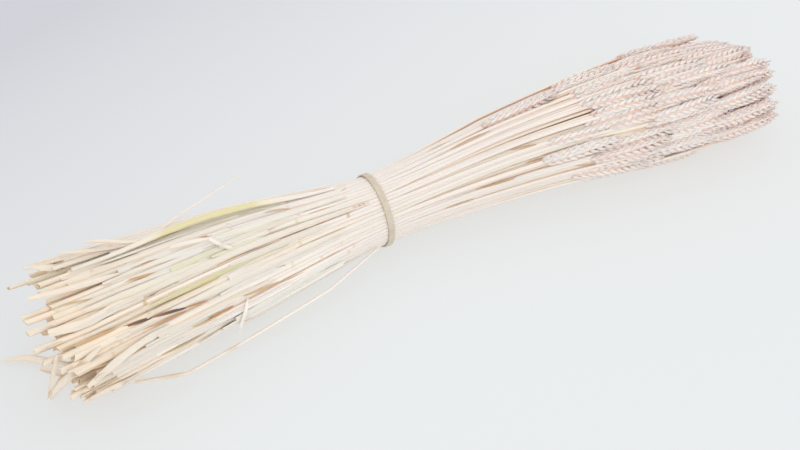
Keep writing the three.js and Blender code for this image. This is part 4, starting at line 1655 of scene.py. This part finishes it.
class WHEAT_OT_strays(bpy.types.Operator):
    """Lay the kinked straw and the thin blade that stand off the bundle"""

    bl_idname = "wheat.strays"
    bl_label = "Strays"

    def execute(self, context):
        settings = context.scene.wheat
        material = leaf_material(settings)
        draw = Draws(SEEDS["strays"])
        self.kinked_straw(settings)
        ribbon = model_ribbon()
        shape = points_of(ribbon)
        stalk = nearest_outer(*THIN_FROM)
        seat = stalk.middle(THIN_X)[0] + stalk.outward() * (SHEATH_SEAT - THIN_SINK)
        blade = lay_ribbon(
            ribbon, shape, course_from(seat, THIN_COURSE), lambda part: 0.0021 * (1 - 0.6 * part), (0, 1, 0.3),
            draw, settings.sheath_thickness, curl=0.2, wave=0.05, tone=0.8,
        )
        hand_over([blade], "loose_thin_blade", "leaf", material, "thin_blade")

        def lay_leaf(course, wide, blunt, tone):
            course = np.array(course)
            middle = course[len(course) // 2]
            outward = (middle - SHIFT - (middle[0], 0.0, 0.036)) * (0.0, 1.0, 1.5)
            across = np.cross(course[-1] - course[0], outward)
            return lay_ribbon(
                ribbon, shape, course, lambda part: wide * MM * taper(part, blunt), across,
                draw, settings.sheath_thickness, tone=tone,
            )

        leaves = []
        for name, places, *rest in LEAVES_ON_BUNDLE:
            leaves.append((name, [on_bundle(*place) for place in places], *rest))
        for name, places, *rest in LEAVES_OFF_BUNDLE:
            leaves.append((name, [SHIFT + np.array(place) * MM for place in places], *rest))
        for name, course, wide, blunt in leaves:
            leaf = lay_leaf(course, wide, blunt, draw.between(0.45, 0.7))
            hand_over([leaf], name, "leaf", material)
        places, wide = DOTTED_STRIP
        strip = lay_leaf([on_bundle(*place) for place in places], wide, 0.5, 0.9)
        set_values(strip, "speckled", 1.0)
        hand_over([strip], "dotted_strip", "leaf", material)
        discard(ribbon)
        return {"FINISHED"}

    def kinked_straw(self, settings):
        master = model_straw()
        shape = points_of(master)
        stalk = nearest_outer(*KINKED_FROM)
        seat = stalk.middle(KINKED_X)[0] + stalk.outward() * SHEATH_SEAT
        course = course_from(seat, KINKED_COURSE)[::-1]
        part = np.clip(shape[:, 0], 0, 1)
        along = heading(course, part, KINKED_ROUNDING)
        aside = np.cross((0.0, 0.0, 1.0), along)
        aside /= np.linalg.norm(aside, axis=1, keepdims=True)
        up = np.cross(along, aside)
        section = (aside * shape[:, 1:2] + up * shape[:, 2:3]) * KINKED_RADIUS
        points = through_points(course, part, KINKED_ROUNDING) + section
        points[:, 2] = np.maximum(points[:, 2], 0.0003)
        straw = copy_of(master)
        place_points(straw, points)
        set_values(straw, "grain", np.stack((part * 215, shape[:, 1] * 2, shape[:, 2] * 2), axis=1))
        hand_over([straw], "loose_kinked_straw", "straw", straw_material(settings), "kinked_straw")
        discard(master)


class WHEAT_OT_stage(bpy.types.Operator):
    """Set the pale floor, the soft light and the camera"""

    bl_idname = "wheat.stage"
    bl_label = "Floor, light and camera"

    def execute(self, context):
        settings = context.scene.wheat
        clear_selection()
        bpy.ops.mesh.primitive_plane_add(size=9, location=(0, 0, 0))
        floor = bpy.context.object
        floor.name = "pale_floor"
        pick(floor, "FACE", lambda centre, normal: True)
        bpy.ops.mesh.extrude_region_move(TRANSFORM_OT_translate={"value": (0, 0, -0.02)})
        bpy.ops.mesh.select_all(action="SELECT")
        bpy.ops.mesh.normals_make_consistent(inside=False)
        finish_editing()
        floor.data.materials.append(floor_material(settings))
        self.add_light(context, "Window light", (-0.1, 0.9, 1.5), 2.0, 4)
        self.add_light(context, "Fill light", (-0.2, -1.3, 1.0), 2.2, 9)
        self.add_sky(context)
        self.add_camera(context)
        context.scene.view_settings.view_transform = "Standard"
        context.scene.view_settings.look = "None"
        return {"FINISHED"}

    def add_light(self, context, name, place, width, power):
        light = bpy.data.lights.new(name, "AREA")
        light.shape = "DISK"
        light.size = width
        light.energy = power
        lamp = bpy.data.objects.new(name, light)
        lamp.location = place
        lamp.rotation_euler = (Vector((0, 0, 0)) - Vector(place)).to_track_quat("-Z", "Y").to_euler()
        context.collection.objects.link(lamp)

    def add_sky(self, context):
        world = bpy.data.worlds.new("Soft room")
        world.use_nodes = True
        background = world.node_tree.nodes["Background"]
        background.inputs["Color"].default_value = (1.0, 0.983, 0.975, 1)
        background.inputs["Strength"].default_value = 0.88
        context.scene.world = world

    def add_camera(self, context):
        camera = bpy.data.objects.new("Camera", bpy.data.cameras.new("Camera"))
        camera.data.lens = CAMERA_LENS
        camera.data.sensor_width = CAMERA_SENSOR
        camera.location = Vector(CAMERA_PLACE) + Vector(SHIFT)
        camera.rotation_euler = Euler([math.radians(turn) for turn in CAMERA_TURNS])
        context.collection.objects.link(camera)
        context.scene.camera = camera


class WHEAT_PT_panel(bpy.types.Panel):
    """Sizes and colours of the bundle, and a button for each group of its pieces"""

    bl_idname = "WHEAT_PT_panel"
    bl_label = "Wheat bundle"
    bl_space_type = "VIEW_3D"
    bl_region_type = "UI"
    bl_category = "Wheat"

    def draw(self, context):
        column = self.layout.column()
        for name in WheatSettings.__annotations__:
            column.prop(context.scene.wheat, name)
        for operator in OPERATORS:
            column.operator(operator.bl_idname)


OPERATORS = (
    WHEAT_OT_straws,
    WHEAT_OT_ears,
    WHEAT_OT_band,
    WHEAT_OT_sheaths,
    WHEAT_OT_strips,
    WHEAT_OT_tails,
    WHEAT_OT_strays,
    WHEAT_OT_stage,
)
CLASSES = (WheatSettings, *OPERATORS, WHEAT_PT_panel)


def register():
    for entry in CLASSES:
        bpy.utils.register_class(entry)
    bpy.types.Scene.wheat = bpy.props.PointerProperty(type=WheatSettings)


def unregister():
    del bpy.types.Scene.wheat
    for entry in reversed(CLASSES):
        bpy.utils.unregister_class(entry)


def main():
    register()
    bpy.ops.wheat.straws()
    bpy.ops.wheat.ears()
    bpy.ops.wheat.band()
    bpy.ops.wheat.sheaths()
    bpy.ops.wheat.strips()
    bpy.ops.wheat.tails()
    bpy.ops.wheat.strays()
    bpy.ops.wheat.stage()


if __name__ == "__main__":
    main()
